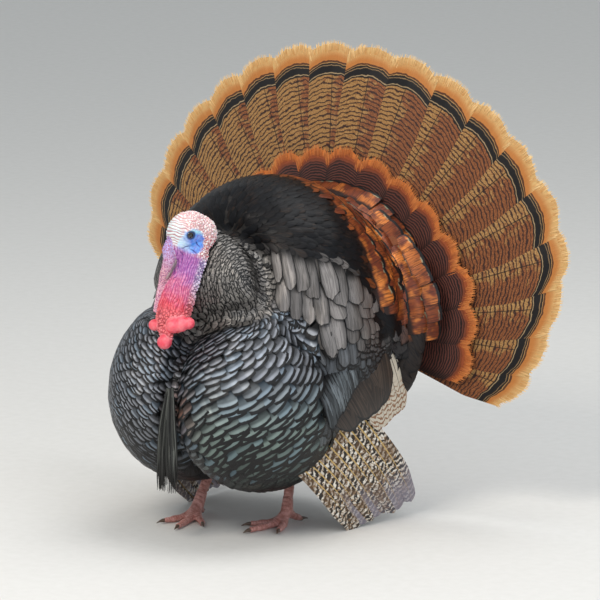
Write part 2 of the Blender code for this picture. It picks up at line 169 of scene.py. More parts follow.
class Shade:
    """A material in the making."""

    def __init__(self, name: str) -> None:
        """Opens an empty material of this name."""
        self.material = bpy.data.materials.new(name)
        self.material.use_nodes = True
        self.tree = self.material.node_tree
        self.tree.nodes.clear()

    def node(self, kind: str, inputs: dict | None = None, **settings) -> bpy.types.Node:
        """Adds one node with its settings, values and links.

        Args:
            kind: The node's type name, such as ShaderNodeMath.
            inputs: By name or number of the input, the number, colour, socket or value that it gets.
            **settings: Properties of the node itself.

        Returns:
            The new node.
        """
        made = self.tree.nodes.new(kind)
        for key, setting in settings.items():
            setattr(made, key, setting)
        for key, given in (inputs or {}).items():
            given = getattr(given, "socket", given)
            if isinstance(given, bpy.types.NodeSocket):
                self.tree.links.new(given, made.inputs[key])
            else:
                made.inputs[key].default_value = given
        return made

    def value(self, kind: str, inputs: dict | None = None, output: int | str = 0, **settings) -> Value:
        """What one output of a new node gives."""
        return Value(self, self.node(kind, inputs, **settings).outputs[output])

    def noise(self, scale: float, detail: float = 2.0, where: Value | None = None,
              stretch: Place = (1, 1, 1)) -> Value:
        """Fractal noise with this many cells a metre, on Object coordinates unless told where."""
        place = where or self.value("ShaderNodeTexCoord", output="Object")
        turned = self.value("ShaderNodeMapping", {"Vector": place, "Scale": stretch})
        return self.value("ShaderNodeTexNoise", {"Vector": turned, "Scale": scale, "Detail": detail})

    def attribute(self, name: str, kind: str = "Vector") -> Value:
        """A named attribute of the piece: its vector, colour or number."""
        return self.value("ShaderNodeAttribute", output=kind, attribute_name=name)

    def parts(self, name: str) -> list[Value]:
        """The three numbers of a named vector attribute."""
        split = self.node("ShaderNodeSeparateXYZ", {0: self.attribute(name)})
        return [Value(self, socket) for socket in split.outputs]

    def bump(self, height: Value, depth: float, strength: float = 1.0) -> Value:
        """A bumped normal from a height of 0 to 1 that stands for this depth."""
        return self.value("ShaderNodeBump", {"Height": height, "Distance": depth, "Strength": strength})

    def close(self, **inputs: object) -> Material:
        """Feeds the surface shader, with spaces in its socket names written as underscores.

        Returns:
            The finished material.
        """
        sockets = {key.replace("_", " "): value for key, value in inputs.items()}
        surface = self.node("ShaderNodeBsdfPrincipled", sockets)
        self.node("ShaderNodeOutputMaterial", {"Surface": surface.outputs[0]})
        return self.material


class FeatherShade(Shade):
    """A feather's material in the making, with the measures on the vane that patterns are laid out by."""

    def __init__(self, name: str) -> None:
        """Opens the material and reads what the coat stored on each feather."""
        super().__init__(name)
        self.u, self.v, self.seed = self.parts("vane")
        self.lateral, self.tip, self.root = self.parts("size")
        self.off_shaft = abs(self.lateral)

    def place(self, length: Value) -> Value:
        """A place on the vane, shifted from feather to feather, for noise."""
        return self.value("ShaderNodeCombineXYZ", {0: self.lateral, 1: length, 2: self.seed})

    def ripple(self, run: Value, period: float) -> Value:
        """A wave from -1 to 1 along a run, with this period."""
        return (run * (2 * math.pi / period)).sum("SINE")


def linked(name: str, data: bpy.types.ID) -> bpy.types.Object:
    """A new object in the scene that holds this data."""
    obj = bpy.data.objects.new(name, data)
    bpy.context.scene.collection.objects.link(obj)
    return obj


def dressed(name: str, mesh: Mesh, finish: Material) -> bpy.types.Object:
    """A smooth object at the origin that holds this mesh and wears this finish."""
    mesh.materials.append(finish)
    mesh.shade_smooth()
    return linked(name, mesh)


def fitted(name: str, mesh: Mesh, finish: Material, slot: str, *nodes: str) -> bpy.types.Object:
    """Makes a piece that rides on the body.

    Args:
        name: Of the piece.
        mesh: Its mesh.
        finish: What it wears.
        slot: Not used.
        *nodes: The solids that it stands for.

    Returns:
        The piece.
    """
    obj = dressed(name, mesh, finish)
    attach(obj, "root")
    if nodes:
        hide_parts(*nodes)
    LOG.info("%s: %d faces", obj.name, len(mesh.polygons))
    return obj


def mesh_of(bm: bmesh.types.BMesh, name: str) -> Mesh:
    """A mesh of this name from a bmesh, which is freed."""
    mesh = bpy.data.meshes.new(name)
    bm.to_mesh(mesh)
    bm.free()
    return mesh


def poured(part: bmesh.types.BMesh, gathered: bmesh.types.BMesh) -> None:
    """Empties one bmesh into another."""
    passed = mesh_of(part, "passed")
    gathered.from_mesh(passed)
    bpy.data.meshes.remove(passed)


def solid_copies(names: Sequence[str], swell: float) -> Mesh:
    """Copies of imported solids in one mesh, each merged and swollen enough to close the cuts between them.

    Args:
        names: The solids' names.
        swell: How far each surface moves outward.

    Returns:
        One mesh of closed shells that overlap.
    """
    gathered = bmesh.new()
    for name in names:
        part = bmesh.new()
        part.from_mesh(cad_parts[name].data)
        bmesh.ops.remove_doubles(part, verts=part.verts, dist=MERGE_DISTANCE)
        bmesh.ops.recalc_face_normals(part, faces=part.faces)
        part.normal_update()
        for vert in part.verts:
            vert.co += vert.normal * swell
        poured(part, gathered)
    return mesh_of(gathered, "gathered")


def fused(mesh: Mesh, voxel: float, rounds: int) -> Mesh:
    """Fuses overlapping shells into one skin of even quads and smooths it.

    Args:
        mesh: The shells, which are used up.
        voxel: Edge length of the new faces.
        rounds: Passes of smoothing.

    Returns:
        The fused mesh.
    """
    obj = linked("fusing", mesh)
    remesh = obj.modifiers.new("Remesh", "REMESH")
    remesh.mode = "VOXEL"
    remesh.voxel_size = voxel
    relax = obj.modifiers.new("Smooth", "SMOOTH")
    relax.factor = 0.5
    relax.iterations = rounds
    graph = bpy.context.evaluated_depsgraph_get()
    made = bpy.data.meshes.new_from_object(obj.evaluated_get(graph))
    bpy.data.objects.remove(obj)
    return made


def surface_of(mesh: Mesh) -> tuple[Array, Array]:
    """A mesh's vertices and the normals there, as arrays."""
    found = np.empty((2, len(mesh.vertices) * 3), np.float32)
    mesh.vertices.foreach_get("co", found[0])
    mesh.vertex_normals.foreach_get("vector", found[1])
    points, normals = found.reshape(2, -1, 3).astype(float)
    return points, normals


def set_points(mesh: Mesh, points: Array) -> None:
    """Moves a mesh's vertices to these places."""
    mesh.vertices.foreach_set("co", points.astype(np.float32).ravel())
    mesh.update()


def set_attribute(mesh: Mesh, name: str, values: Array) -> None:
    """Stores one number or one vector for each vertex."""
    kind, key = ("FLOAT", "value") if values.ndim == 1 else ("FLOAT_VECTOR", "vector")
    mesh.attributes.new(name, kind, "POINT").data.foreach_set(key, values.astype(np.float32).ravel())


# ---- feathers


@dataclass(frozen=True)
class Cut:
    """The shape that the feathers of one batch share."""

    across: int = 4
    along: int = 6
    waist: float = 0.45
    growth: float = 0.7
    roundness: float = 0.05
    squareness: float = 3.5
    narrowing: float = 0.08
    ragged: float = 0.02

    def template(self) -> tuple[Array, Array]:
        """A flat feather.

        Returns:
            Its points as (place across from -1 to 1, share of the length from 0 to 1), and its faces.
        """
        bm = bmesh.new()
        bmesh.ops.create_grid(bm, x_segments=self.across, y_segments=self.along, size=1.0)
        points = np.array([(v.co.x, (v.co.y + 1.0) / 2.0) for v in bm.verts])
        faces = np.array([[v.index for v in f.verts] for f in bm.faces])
        bm.free()
        return points, faces

    def outline(self, points: Array) -> tuple[Array, Array]:
        """Shapes the template.

        Args:
            points: The template's points.

        Returns:
            The half-width share and the length share of each point.
        """
        u, v = points[:, 0], points[:, 1]
        width = self.waist + (1.0 - self.waist) * np.power(np.clip(v / 0.75, 0.0, 1.0), self.growth)
        width = width * (1.0 - self.narrowing * smooth(0.7, 1.0, v))
        reach = v * (1.0 - self.roundness * np.power(np.abs(u), self.squareness))
        return u * width, reach


SHAFT_CUT = Cut(across=2, along=18, waist=1.7, growth=1.0, roundness=0.0, narrowing=0.3, ragged=0.0)


@dataclass
class Batch:
    """Feathers of one cut: a row of each array for each feather, or one value for all of them."""

    roots: Array
    along: Array
    normal: Array
    length: Array | float
    width: Array | float
    tone: Array
    lift: Array | float = 0.0
    camber: Array | float = 0.0
    bow: Array | float = 0.0
    edge: Array | float = 1.0

    def __post_init__(self) -> None:
        """Gives each feather its own row of what was given once."""
        for name in ("length", "width", "lift", "camber", "bow", "edge"):
            setattr(self, name, np.broadcast_to(getattr(self, name), self.count).astype(float))
        self.tone = np.broadcast_to(self.tone, (self.count, 3))

    @property
    def count(self) -> int:
        """How many feathers it holds."""
        return len(self.roots)

    def taken(self, keep: Array) -> "Batch":
        """The feathers that are to be kept."""
        return Batch(**{name: value[keep] for name, value in vars(self).items()})

    def joined(self, other: "Batch") -> "Batch":
        """These feathers, followed by another batch's."""
        names = Batch.__dataclass_fields__
        return Batch(**{name: np.concatenate([getattr(b, name) for b in (self, other)]) for name in names})

    def clear_of(self, other: "Batch", gap: float) -> "Batch":
        """The feathers whose roots are further than this from another batch's."""
        apart = norm(self.roots[:, None] - other.roots[None], axis=2).min(axis=1)
        return self.taken(apart > gap)

    def shafts(self, radius: float) -> "Batch":
        """The feathers' shafts, as low ridges along their middles, this wide to each side at the root."""
        return replace(self, roots=self.roots + self.normal * radius, width=radius * 1.6, camber=radius * 1.6,
                       length=self.length * 0.985)


class Coat:
    """Turns batches of feathers into joined meshes."""

    PATCH = 0.003
    # Stations across and along a feather, as shares, that are taken to the skin; the rest follows them.
    STATIONS = (-1.0, 0.0, 1.0)
    POSTS = (0.0, 1 / 3, 2 / 3, 1.0)

    def __init__(self, seed: int, middle: Array) -> None:
        """Starts the chance that varies the feathers; middle is what their bake map unwraps about."""
        self.chance, self.middle = np.random.default_rng(seed), middle

    def lay(self, batch: Batch, cut: Cut, drape: Callable | None = None) -> tuple[Array, Array]:
        """Places every point of every feather.

        Args:
            batch: The feathers.
            cut: Their shape.
            drape: Takes flat control points to the skin and gives the points and normals there.

        Returns:
            Points of shape (feathers, points, 3) and the template's faces.
        """
        template, faces = cut.template()
        across, reach = cut.outline(template)
        side = unit(np.cross(batch.along, batch.normal))
        ragged = self.chance.normal(0.0, cut.ragged, (batch.count, len(template)))
        ragged = 1.0 + ragged * (template[:, 1] > 0.99)
        width, long = batch.width[:, None], batch.length[:, None]
        x, y = across[None, :] * width / 2.0, reach[None, :] * long * ragged
        v, u = reach[None, :], template[None, :, 0]
        height = batch.lift[:, None] * v - batch.camber[:, None] * u**2 * np.sqrt(v)
        height = height + batch.bow[:, None] * 4.0 * v * (1.0 - v)
        if drape is None:
            base = batch.roots[:, None] + batch.along[:, None] * y[..., None] + side[:, None] * x[..., None]
            return base + batch.normal[:, None] * height[..., None], faces
        lattice = np.array([(s, p) for p in self.POSTS for s in self.STATIONS])
        flat = (batch.roots[:, None] + batch.along[:, None] * (lattice[:, 1] * long)[..., None]
                + side[:, None] * (lattice[:, 0] * width / 2.0)[..., None])
        held, normal = drape(flat, batch.normal)
        weight_x = self.lagrange(self.STATIONS, 2.0 * x / width)
        weight_y = self.lagrange(self.POSTS, y / long)
        weight = (weight_y[..., :, None] * weight_x[..., None, :]).reshape(*x.shape, -1)
        base = np.einsum("nml,nlc->nmc", weight, held)
        facing = unit(np.einsum("nml,nlc->nmc", weight, normal))
        return base + facing * height[..., None], faces

    @staticmethod
    def lagrange(knots: Sequence[float], value: Array) -> Array:
        """Weights of a polynomial through the knots, with one more axis for the knots."""
        weights = [np.prod([(value - b) / (a - b) for b in knots if b != a], axis=0) for a in knots]
        return np.stack(weights, axis=-1)

    def mesh(self, name: str, batch: Batch, cut: Cut, points: Array, faces: Array) -> Mesh:
        """Joins the feathers into one mesh with the attributes that their finishes read.

        Args:
            name: The mesh's name.
            batch: The feathers.
            cut: Their shape.
            points: Their laid points.
            faces: The template's faces.

        Returns:
            The joined mesh, with its bake map.
        """
        template, _ = cut.template()
        across, reach = cut.outline(template)
        total, each = batch.count, len(template)
        index = (np.arange(total)[:, None, None] * each + faces[None]).reshape(-1, faces.shape[1])
        mesh = bpy.data.meshes.new(name)
        mesh.from_pydata(points.reshape(-1, 3), [], index)
        width, length = batch.width[:, None], batch.length[:, None]
        seeds = np.broadcast_to(self.chance.random(total)[:, None], (total, each))
        flat = np.broadcast_to(template[None], (total, each, 2))
        vane = np.dstack([flat, seeds])
        size = np.dstack([across * width / 2.0, (1.0 - template[:, 1]) * length, reach * length])
        for key, values in (("vane", vane), ("size", size)):
            set_attribute(mesh, key, values.reshape(-1, 3))
        for key, values in (("tone", batch.tone), ("edge", batch.edge)):
            set_attribute(mesh, key, np.repeat(values, each, axis=0))
        self.bake_map(mesh, batch, template, index)
        return mesh

    def hang(self, name: str, slot: str, batch: Batch, cut: Cut, finish: Material,
             nodes: Sequence[str] = (), bend: Callable | None = None,
             trim: Callable | None = None) -> Array:
        """Lays a batch as one piece.

        Args:
            name: Of the piece.
            slot: Its material slot.
            batch: The feathers.
            cut: Their shape.
            finish: What they wear.
            nodes: The solids that the piece stands for.
            bend: Drapes the feathers, as lay says.
            trim: Takes the laid points and corrects them.

        Returns:
            The laid points.
        """
        points, faces = self.lay(batch, cut, bend)
        points = trim(points) if trim else points
        mesh = self.mesh(name, batch, cut, points, faces)
        fitted(name, mesh, finish, slot, *nodes)
        return points

    def bake_map(self, mesh: Mesh, batch: Batch, template: Array, index: Array) -> None:
        """Gives each feather a small patch at its root's place on an unwrap of the body about its middle.

        Args:
            mesh: The joined mesh.
            batch: The feathers.
            template: The points of one flat feather.
            index: The points of each face.
        """
        away = unit(batch.roots - self.middle)
        turn = np.arctan2(away[:, 0], -away[:, 1]) / (2 * math.pi)
        climb = np.arcsin(np.clip(away[:, 2], -1, 1)) / math.pi
        plan = np.stack([turn, climb], axis=1)
        spread = np.maximum(plan.max(axis=0) - plan.min(axis=0), 1e-6)
        plan = 0.01 + 0.97 * (plan - plan.min(axis=0)) / spread
        patch = template * (0.5, 1.0) + (0.5, 0.0)
        flat = (plan[:, None] + patch[None] * self.PATCH).reshape(-1, 2)
        layer = mesh.uv_layers.new(name="OFBake")
        layer.data.foreach_set("uv", flat[index.ravel()].astype(np.float32).ravel())


# ---- body


class Zone(Enum):
    """Parts of the plumage that differ in colour."""

    RUFF = "ruff"
    BREAST = "breast"
    COVERTS = "coverts"
    BACK = "back"
    UNDER = "under"
    RUMP = "rump"


@dataclass(frozen=True)
class Markings:
    """The colours of the body by place, which skin and coat share."""

    ruff: str = "#938f8b"
    breast: str = "#9a9ea6"
    breast_green: str = "#8fa29b"
    coverts: str = "#8f8a87"
    wing: str = "#565b60"
    back: str = "#08080b"
    under: str = "#241f1d"
    rump: str = "#b4602c"
    bronze: str = "#8c5230"
    # Places from front to rear, and the height of the shoulder's upper edge there.
    shoulder_line: tuple[tuple[float, ...], tuple[float, ...]] = (
        (-0.04, 0.0, 0.045, 0.072, 0.088, 0.098), (0.422, 0.414, 0.406, 0.386, 0.36, 0.28),
    )

    @staticmethod
    def rump_floor(y: Array) -> Array:
        """Height of the copper feathers' lower edge, this far to the rear."""
        return np.interp(y, (0.1, 0.16), (0.345, 0.285))

    def shares(self, points: Array) -> dict[Zone, Array]:
        """How much each zone has of each point; the shares of a point add up to 1."""
        x, y, z = (points - ORIGIN).T
        reach = ((x + 0.004) / 0.104) ** 2 + ((y + 0.054) / 0.077) ** 2 + ((z - 0.364) / 0.103) ** 2
        nape = -0.02 - 0.5 * np.maximum(0.0, z - 0.41)
        ruff = smooth(1.14, 1.0, reach) * smooth(0.265, 0.285, z) * smooth(0.008, -0.008, y - nape)
        floor = self.rump_floor(y)
        rump = smooth(0.1, 0.11, y) * smooth(floor - 0.012, floor + 0.004, z)
        left = 1.0 - ruff
        shoulder = np.interp(y, *self.shoulder_line)
        back = left * (1.0 - rump) * smooth(-0.008, 0.008, z - shoulder)
        left = left * (1.0 - rump) - back
        under = left * np.maximum(smooth(0.115, 0.075, z), smooth(0.125, 0.15, y - 0.2 * (z - 0.2)))
        left = left - under
        lobe = np.sqrt(((np.abs(x) - 0.062) / 0.112) ** 2 + ((y + 0.01) / 0.174) ** 2
                       + ((z - 0.21) / 0.148) ** 2)
        outer = smooth(0.148, 0.156, np.abs(x)) * smooth(-0.02, 0.0, y)
        coverts = np.maximum(smooth(0.985, 1.02, lobe) * smooth(-0.055, -0.035, y), outer)
        coverts = left * coverts * smooth(0.12, 0.15, z)
        return {
            Zone.RUFF: ruff, Zone.RUMP: (1.0 - ruff) * rump, Zone.BACK: back, Zone.UNDER: under,
            Zone.COVERTS: coverts, Zone.BREAST: left - coverts,
        }

    def tone(self, points: Array) -> Array:
        """The plumage's colour at each point, linear."""
        x, y, z = (points - ORIGIN).T
        shares = self.shares(points)
        green = smooth(0.27, 0.15, z)[:, None] * smooth(0.02, 0.08, x)[:, None]
        breast = linear3(self.breast) * (1 - green) + linear3(self.breast_green) * green
        # Darker towards the bottom: partly the lower breast's darker feathers, partly painted shade on the
        # underside.
        breast = breast * (0.16 + 0.84 * smooth(0.06, 0.22, z))[:, None]
        near = smooth(0.06, 0.02, np.sqrt((x - 0.03) ** 2 + (y + 0.15) ** 2 + (z - 0.2) ** 2))[:, None]
        breast = breast * (1 - 0.8 * near) + linear3(self.bronze) * 0.8 * near
        tone = breast * shares[Zone.BREAST][:, None]
        low = smooth(0.3, 0.255, z)[:, None] * shares[Zone.COVERTS][:, None]
        tone = tone + (linear3(self.wing) - linear3(self.coverts)) * low
        for zone in (Zone.RUFF, Zone.COVERTS, Zone.BACK, Zone.UNDER, Zone.RUMP):
            tone = tone + linear3(getattr(self, zone.value)) * shares[zone][:, None]
        return tone


def between(values: Array, a: Array, b: Array, share: Array) -> Array:
    """Values this share of the way from the points a to the points b."""
    share = share.reshape(-1, *[1] * (values.ndim - 1))
    return values[a] * (1 - share) + values[b] * share


@dataclass
class Body:
    """The feathered skin: one surface in place of the trunk's, neck's, wing arms' and thighs' solids."""

    voxel: float = 0.005
    swell: float = 0.0006
    coat_depth: float = 0.006
    markings: Markings = field(default_factory=Markings)
    crease_depth: float = 0.016
    crease_width: float = 0.011
    # Cosine between a feather's own way of facing and the skin's, under which it is not draped there.
    turned_away: float = -0.3
    nodes: tuple[str, ...] = (
        "neck", "breast_left", "breast_right", "back", "belly", "rump",
        "wing_left_arm", "wing_right_arm", "thigh_left", "thigh_right",
    )
    # Middles and half-axes of the swellings that press against each other, with a crease where they meet.
    masses: tuple[tuple[Place, Place], ...] = (
        ((0.062, -0.01, 0.21), (0.112, 0.174, 0.148)), ((-0.062, -0.01, 0.21), (0.112, 0.174, 0.148)),
        ((-0.004, -0.054, 0.364), (0.1, 0.07, 0.098)), ((0.0, 0.08, 0.322), (0.186, 0.16, 0.198)),
        ((0.095, 0.06, 0.3), (0.085, 0.11, 0.11)), ((-0.095, 0.06, 0.3), (0.085, 0.11, 0.11)),
    )

    def crease(self, points: Array) -> Array:
        """How deep in a crease between two swellings each point lies, from 0 to 1."""
        apart = []
        for middle, half in self.masses:
            share = norm((points - spot(*middle)) / np.array(half), axis=1)
            apart.append(np.abs(share - 1.0) * min(half))
        second = np.sort(np.array(apart), axis=0)[1]
        front = smooth(0.06, 0.02, points[:, 1] - ORIGIN[1])
        return np.exp(-((second / self.crease_width) ** 2)) * front

    def build(self) -> bpy.types.Object:
        """Makes the skin inside the solids' surface and readies it for rows of feathers."""
        mesh = fused(solid_copies(self.nodes, self.swell), self.voxel, 4)
        points, normals = surface_of(mesh)
        depth = self.coat_depth + self.crease_depth * self.crease(points)
        set_points(mesh, points - normals * depth[:, None])
        self.points, self.normals = surface_of(mesh)
        mesh.calc_loop_triangles()
        corners = np.empty(len(mesh.loop_triangles) * 3, np.int32)
        mesh.loop_triangles.foreach_get("vertices", corners)
        self.triangles = corners.reshape(-1, 3)
        self.tree = BVHTree.FromPolygons(self.points.tolist(), self.triangles.tolist())
        self.centre = self.points.mean(axis=0)
        pairs = np.sort(self.triangles[:, [0, 1, 1, 2, 2, 0]].reshape(-1, 2), axis=1)
        self.edges, inverse = np.unique(pairs, axis=0, return_inverse=True)
        self.triangle_edges = inverse.reshape(-1, 3)
        set_attribute(mesh, "tone", self.markings.tone(self.points))
        return fitted("body_skin", mesh, SkinFinish().build(), "black_feather", *self.nodes)

    def drape(self, flat: Array, normal: Array) -> tuple[Array, Array]:
        """Takes points near the skin onto it.

        Args:
            flat: Points of shape (feathers, points, 3).
            normal: The skin's normal at each feather's root.

        Returns:
            The nearest points on the skin and the normals there, in the same shape.
        """
        held, facing = flat.copy(), np.repeat(normal[:, None], flat.shape[1], axis=1)
        for i, j in np.ndindex(flat.shape[:2]):
            place, turned, _, _ = self.tree.find_nearest(Vector(flat[i, j]))
            if place is not None and turned.dot(Vector(normal[i])) > self.turned_away:
                held[i, j], facing[i, j] = place, turned
        return held, unit(facing)

    def nearest(self, points: Sequence[Array]) -> Array:
        """The place on the skin nearest to each point."""
        return np.array([self.tree.find_nearest(Vector(point))[0] for point in points])

    def travel(self, line: Sequence[Array], pace: Array, reach: float) -> Array:
        """Counts the rows between a line on the skin and every point of it.

        Args:
            line: The places that the line runs through.
            pace: How far apart the rows are at each point.
            reach: How far from the line its distance counts as straight.

        Returns:
            The number of rows, as an array with one value for each point.
        """
        line = self.nearest(line)
        apart = np.full(len(self.points), np.inf)
        for start, end in zip(line[:-1], line[1:]):
            way = end - start
            share = np.clip((self.points - start) @ way / (way @ way), 0.0, 1.0)
            apart = np.minimum(apart, norm(self.points - start - share[:, None] * way, axis=1))
        rows = np.where(apart < reach, apart / pace, np.inf)
        near = self.neighbours()
        cost = norm(self.points[near[:, 0]] - self.points[near[:, 1]], axis=1)
        cost = cost / (0.5 * (pace[near[:, 0]] + pace[near[:, 1]]))
        for _ in range(400):
            before = rows.copy()
            np.minimum.at(rows, near[:, 1], rows[near[:, 0]] + cost)
            np.minimum.at(rows, near[:, 0], rows[near[:, 1]] + cost)
            if np.array_equal(before, rows):
                break
        rows = np.where(np.isfinite(rows), rows, rows[np.isfinite(rows)].max())
        return self.eased(rows, 6)

    def neighbours(self) -> Array:
        """Pairs of points that are one or two edges apart."""
        ring: list[set[int]] = [set() for _ in self.points]
        for a, b in self.edges.tolist():
            ring[a].add(b)
            ring[b].add(a)
        pairs = {(min(a, c), max(a, c)) for a in range(len(ring)) for b in ring[a] for c in ring[b] if a != c}
        return np.concatenate([self.edges, np.array(sorted(pairs))])

    def eased(self, values: Array, rounds: int) -> Array:
        """Values at the skin's points, averaged with their neighbours' a few times."""
        a, b = self.edges.T
        count = np.bincount(np.concatenate([a, b]), minlength=len(values))
        count = count.reshape(-1, *[1] * (values.ndim - 1))
        for _ in range(rounds):
            total = np.zeros_like(values)
            np.add.at(total, a, values[b])
            np.add.at(total, b, values[a])
            values = 0.5 * values + 0.5 * total / np.maximum(count, 1)
        return values

    def slope(self, values: Array) -> Array:
        """The direction in which the values grow fastest over the skin, at each point."""
        p, q, r = (self.points[self.triangles[:, i]] for i in range(3))
        face = np.cross(q - p, r - p)
        area = np.maximum(norm(face, axis=1, keepdims=True), 1e-12)
        face = face / area
        rise = sum(np.cross(face, far - near) * values[self.triangles[:, i]][:, None]
                   for i, near, far in ((0, q, r), (1, r, p), (2, p, q)))
        total = np.zeros_like(self.points)
        for i in range(3):
            np.add.at(total, self.triangles[:, i], rise)
        return unit(self.eased(unit(total), 4))

    def contour(self, values: Array, level: float) -> list[tuple[Array, Array, bool]]:
        """The lines along which the values have one level.

        Args:
            values: One for each point of the skin.
            level: The level to follow.

        Returns:
            For each line, its skin edges, the share along each edge, and whether it closes on itself.
        """
        above = values > level
        crossed = above[self.edges[:, 0]] != above[self.edges[:, 1]]
        hit = crossed[self.triangle_edges]
        links: dict[int, list[int]] = {}
        for row in self.triangle_edges[hit.sum(axis=1) == 2]:
            a, b = (int(e) for e in row[crossed[row]])
            links.setdefault(a, []).append(b)
            links.setdefault(b, []).append(a)
        lines, seen = [], set()
        for start in sorted(links, key=lambda e: (len(links[e]) > 1, e)):
            if start in seen:
                continue
            chain, ahead = [], [start]
            while ahead:
                chain.append(ahead[0])
                seen.add(ahead[0])
                ahead = [e for e in links[ahead[0]] if e not in seen]
            edges = np.array(chain)
            low, high = values[self.edges[edges, 0]], values[self.edges[edges, 1]]
            lines.append((edges, (level - low) / (high - low), start in links[chain[-1]] and len(chain) > 2))
        return lines

    def seeds(self, values: Array, spacing: Array, first: float) -> tuple[Array, ...]:
        """Roots in staggered rows along the whole levels of the values.

        Args:
            values: Rows counted from the source, one for each point.
            spacing: How far apart feathers of one row are, at each point.
            first: The first level.

        Returns:
            The two skin points that each root lies between, and its share of the way between them.
        """
        found = []
        for number, level in enumerate(np.arange(first, values.max(), 1.0)):
            for edges, share, ring in self.contour(values, level):
                if len(edges) < 3:
                    continue
                a, b = self.edges[edges].T
                places, apart = between(self.points, a, b, share), between(spacing, a, b, share)
                steps = norm(np.diff(places, axis=0), axis=1) / (0.5 * (apart[1:] + apart[:-1]))
                run = np.concatenate([[0.0], np.cumsum(steps)])
                off_middle = np.abs(places[:, 0] - ORIGIN[0]) + 0.5 * (places[:, 1] > 0.0)
                run = run - run[np.argmin(off_middle)] + 0.5 * (number % 2)
                if ring and run[-1] - run[0] > 3:
                    run = run * round(run[-1] - run[0]) / (run[-1] - run[0])
                for target in np.arange(math.ceil(run[0]), run[-1], 1.0):
                    i = min(int(np.searchsorted(run, target)), len(edges) - 1)
                    found.append((a[i], b[i], share[i]))
        return tuple(np.array(column) for column in zip(*found))


@dataclass(frozen=True)
class Shoulder:
    """Scapulars and coverts, hung one below the other in columns from the back down to the wing."""

    axis: tuple[float, float] = (0.0, 0.08)
    # Bearing about the axis in degrees from straight ahead, and height, where the columns begin and end.
    top: tuple[tuple[float, float], ...] = (
        (34, 0.426), (44, 0.425), (54, 0.419), (64, 0.413), (76, 0.406), (87, 0.384), (94, 0.35),
        (99, 0.31),
    )
    foot: tuple[tuple[float, float], ...] = (
        (44, 0.285), (50, 0.24), (58, 0.205), (66, 0.185), (75, 0.205), (84, 0.238), (93, 0.268),
        (101, 0.285),
    )
    # Share of the way down, and the number of columns abreast.
    rows: tuple[tuple[float, int], ...] = (
        (-0.06, 11), (0.11, 11), (0.28, 12), (0.42, 15), (0.53, 18), (0.62, 20), (0.71, 21), (0.8, 22),
        (0.88, 22), (0.96, 22), (1.04, 22), (1.12, 22),
    )
    # How much feathers vary in level, way, length and tone.
    jitter: tuple[float, float, float, float] = (0.02, 0.06, 0.07, 0.22)
    overlap: float = 1.9
    cover: float = 1.35

    def place(self, body: Body, across: float, down: float, side: int) -> tuple[Array, Array]:
        """A place on the skin.

        Args:
            body: The skin.
            across: Share of the way from the first column to the last.
            down: Share of the way down the column.
            side: 1 for the bird's left.

        Returns:
            The place, and the way that the skin faces there.
        """
        marks = np.linspace(0.0, 1.0, len(self.top))
        turn, height = (
            (1.0 - down) * np.interp(across, marks, high) + down * np.interp(across, marks, low)
            for high, low in zip(zip(*self.top), zip(*self.foot))
        )
        away = np.array((side * math.sin(math.radians(turn)), -math.cos(math.radians(turn)), 0.0))
        hit, facing, _, _ = body.tree.ray_cast(Vector(spot(*self.axis, height) + RAY * away), Vector(-away))
        return np.array(hit), np.array(facing)

    def batch(self, body: Body, chance: np.random.Generator) -> Batch:
        """Lays the feathers of both shoulders.

        Args:
            body: The skin.
            chance: Varies them.

        Returns:
            The feathers.
        """
        found, (level_jitter, *jitter) = [], self.jitter
        for side in (1, -1):
            for number, (down, count) in enumerate(self.rows):
                pitch = abs(self.rows[max(1, number)][0] - self.rows[max(0, number - 1)][0])
                for across in (np.arange(count) + (number % 2) * 0.5) / (count - 0.5):
                    level, half = down + chance.normal(0.0, level_jitter), 0.5 / count
                    (here, facing), (below, _), (beside, _), (before, _) = (
                        self.place(body, *at, side) for at in (
                            (across, level), (across, level + pitch), (min(1.0, across + half), level),
                            (max(0.0, across - half), level),
                        )
                    )
                    step, wide = norm(below - here), norm(beside - before)
                    found.append((*here, *(below - here), *facing, step, wide))
        found = np.array(found)
        roots, way, normal, (step, wide) = found[:, :3], found[:, 3:6], found[:, 6:9], found[:, 9:].T
        turned, longer, lighter = (chance.normal(0.0, share, (len(way), 1)) for share in jitter)
        way = square_to(unit(way) + unit(np.cross(way, normal)) * turned, normal)
        step, wide = np.clip(step, 0.012, 0.045), np.clip(wide, 0.011, 0.04)
        length = step * self.overlap * (1.0 + longer[:, 0])
        seen = body.nearest(roots + way * (0.85 * length)[:, None])
        tone = body.markings.tone(seen) * np.clip(1.0 + lighter, 0.5, 1.6)
        edge = 0.0012 + 0.0022 * smooth(0.31, 0.27, seen[:, 2] - ORIGIN[2])
        batch = Batch(roots - normal * SUNK, way, normal, length, wide * self.cover, tone, step * 0.2,
                      wide * 0.05, edge=edge)
        shares = body.markings.shares(seen)
        return batch.taken(shares[Zone.COVERTS] + shares[Zone.UNDER] + shares[Zone.BACK] > 0.4)


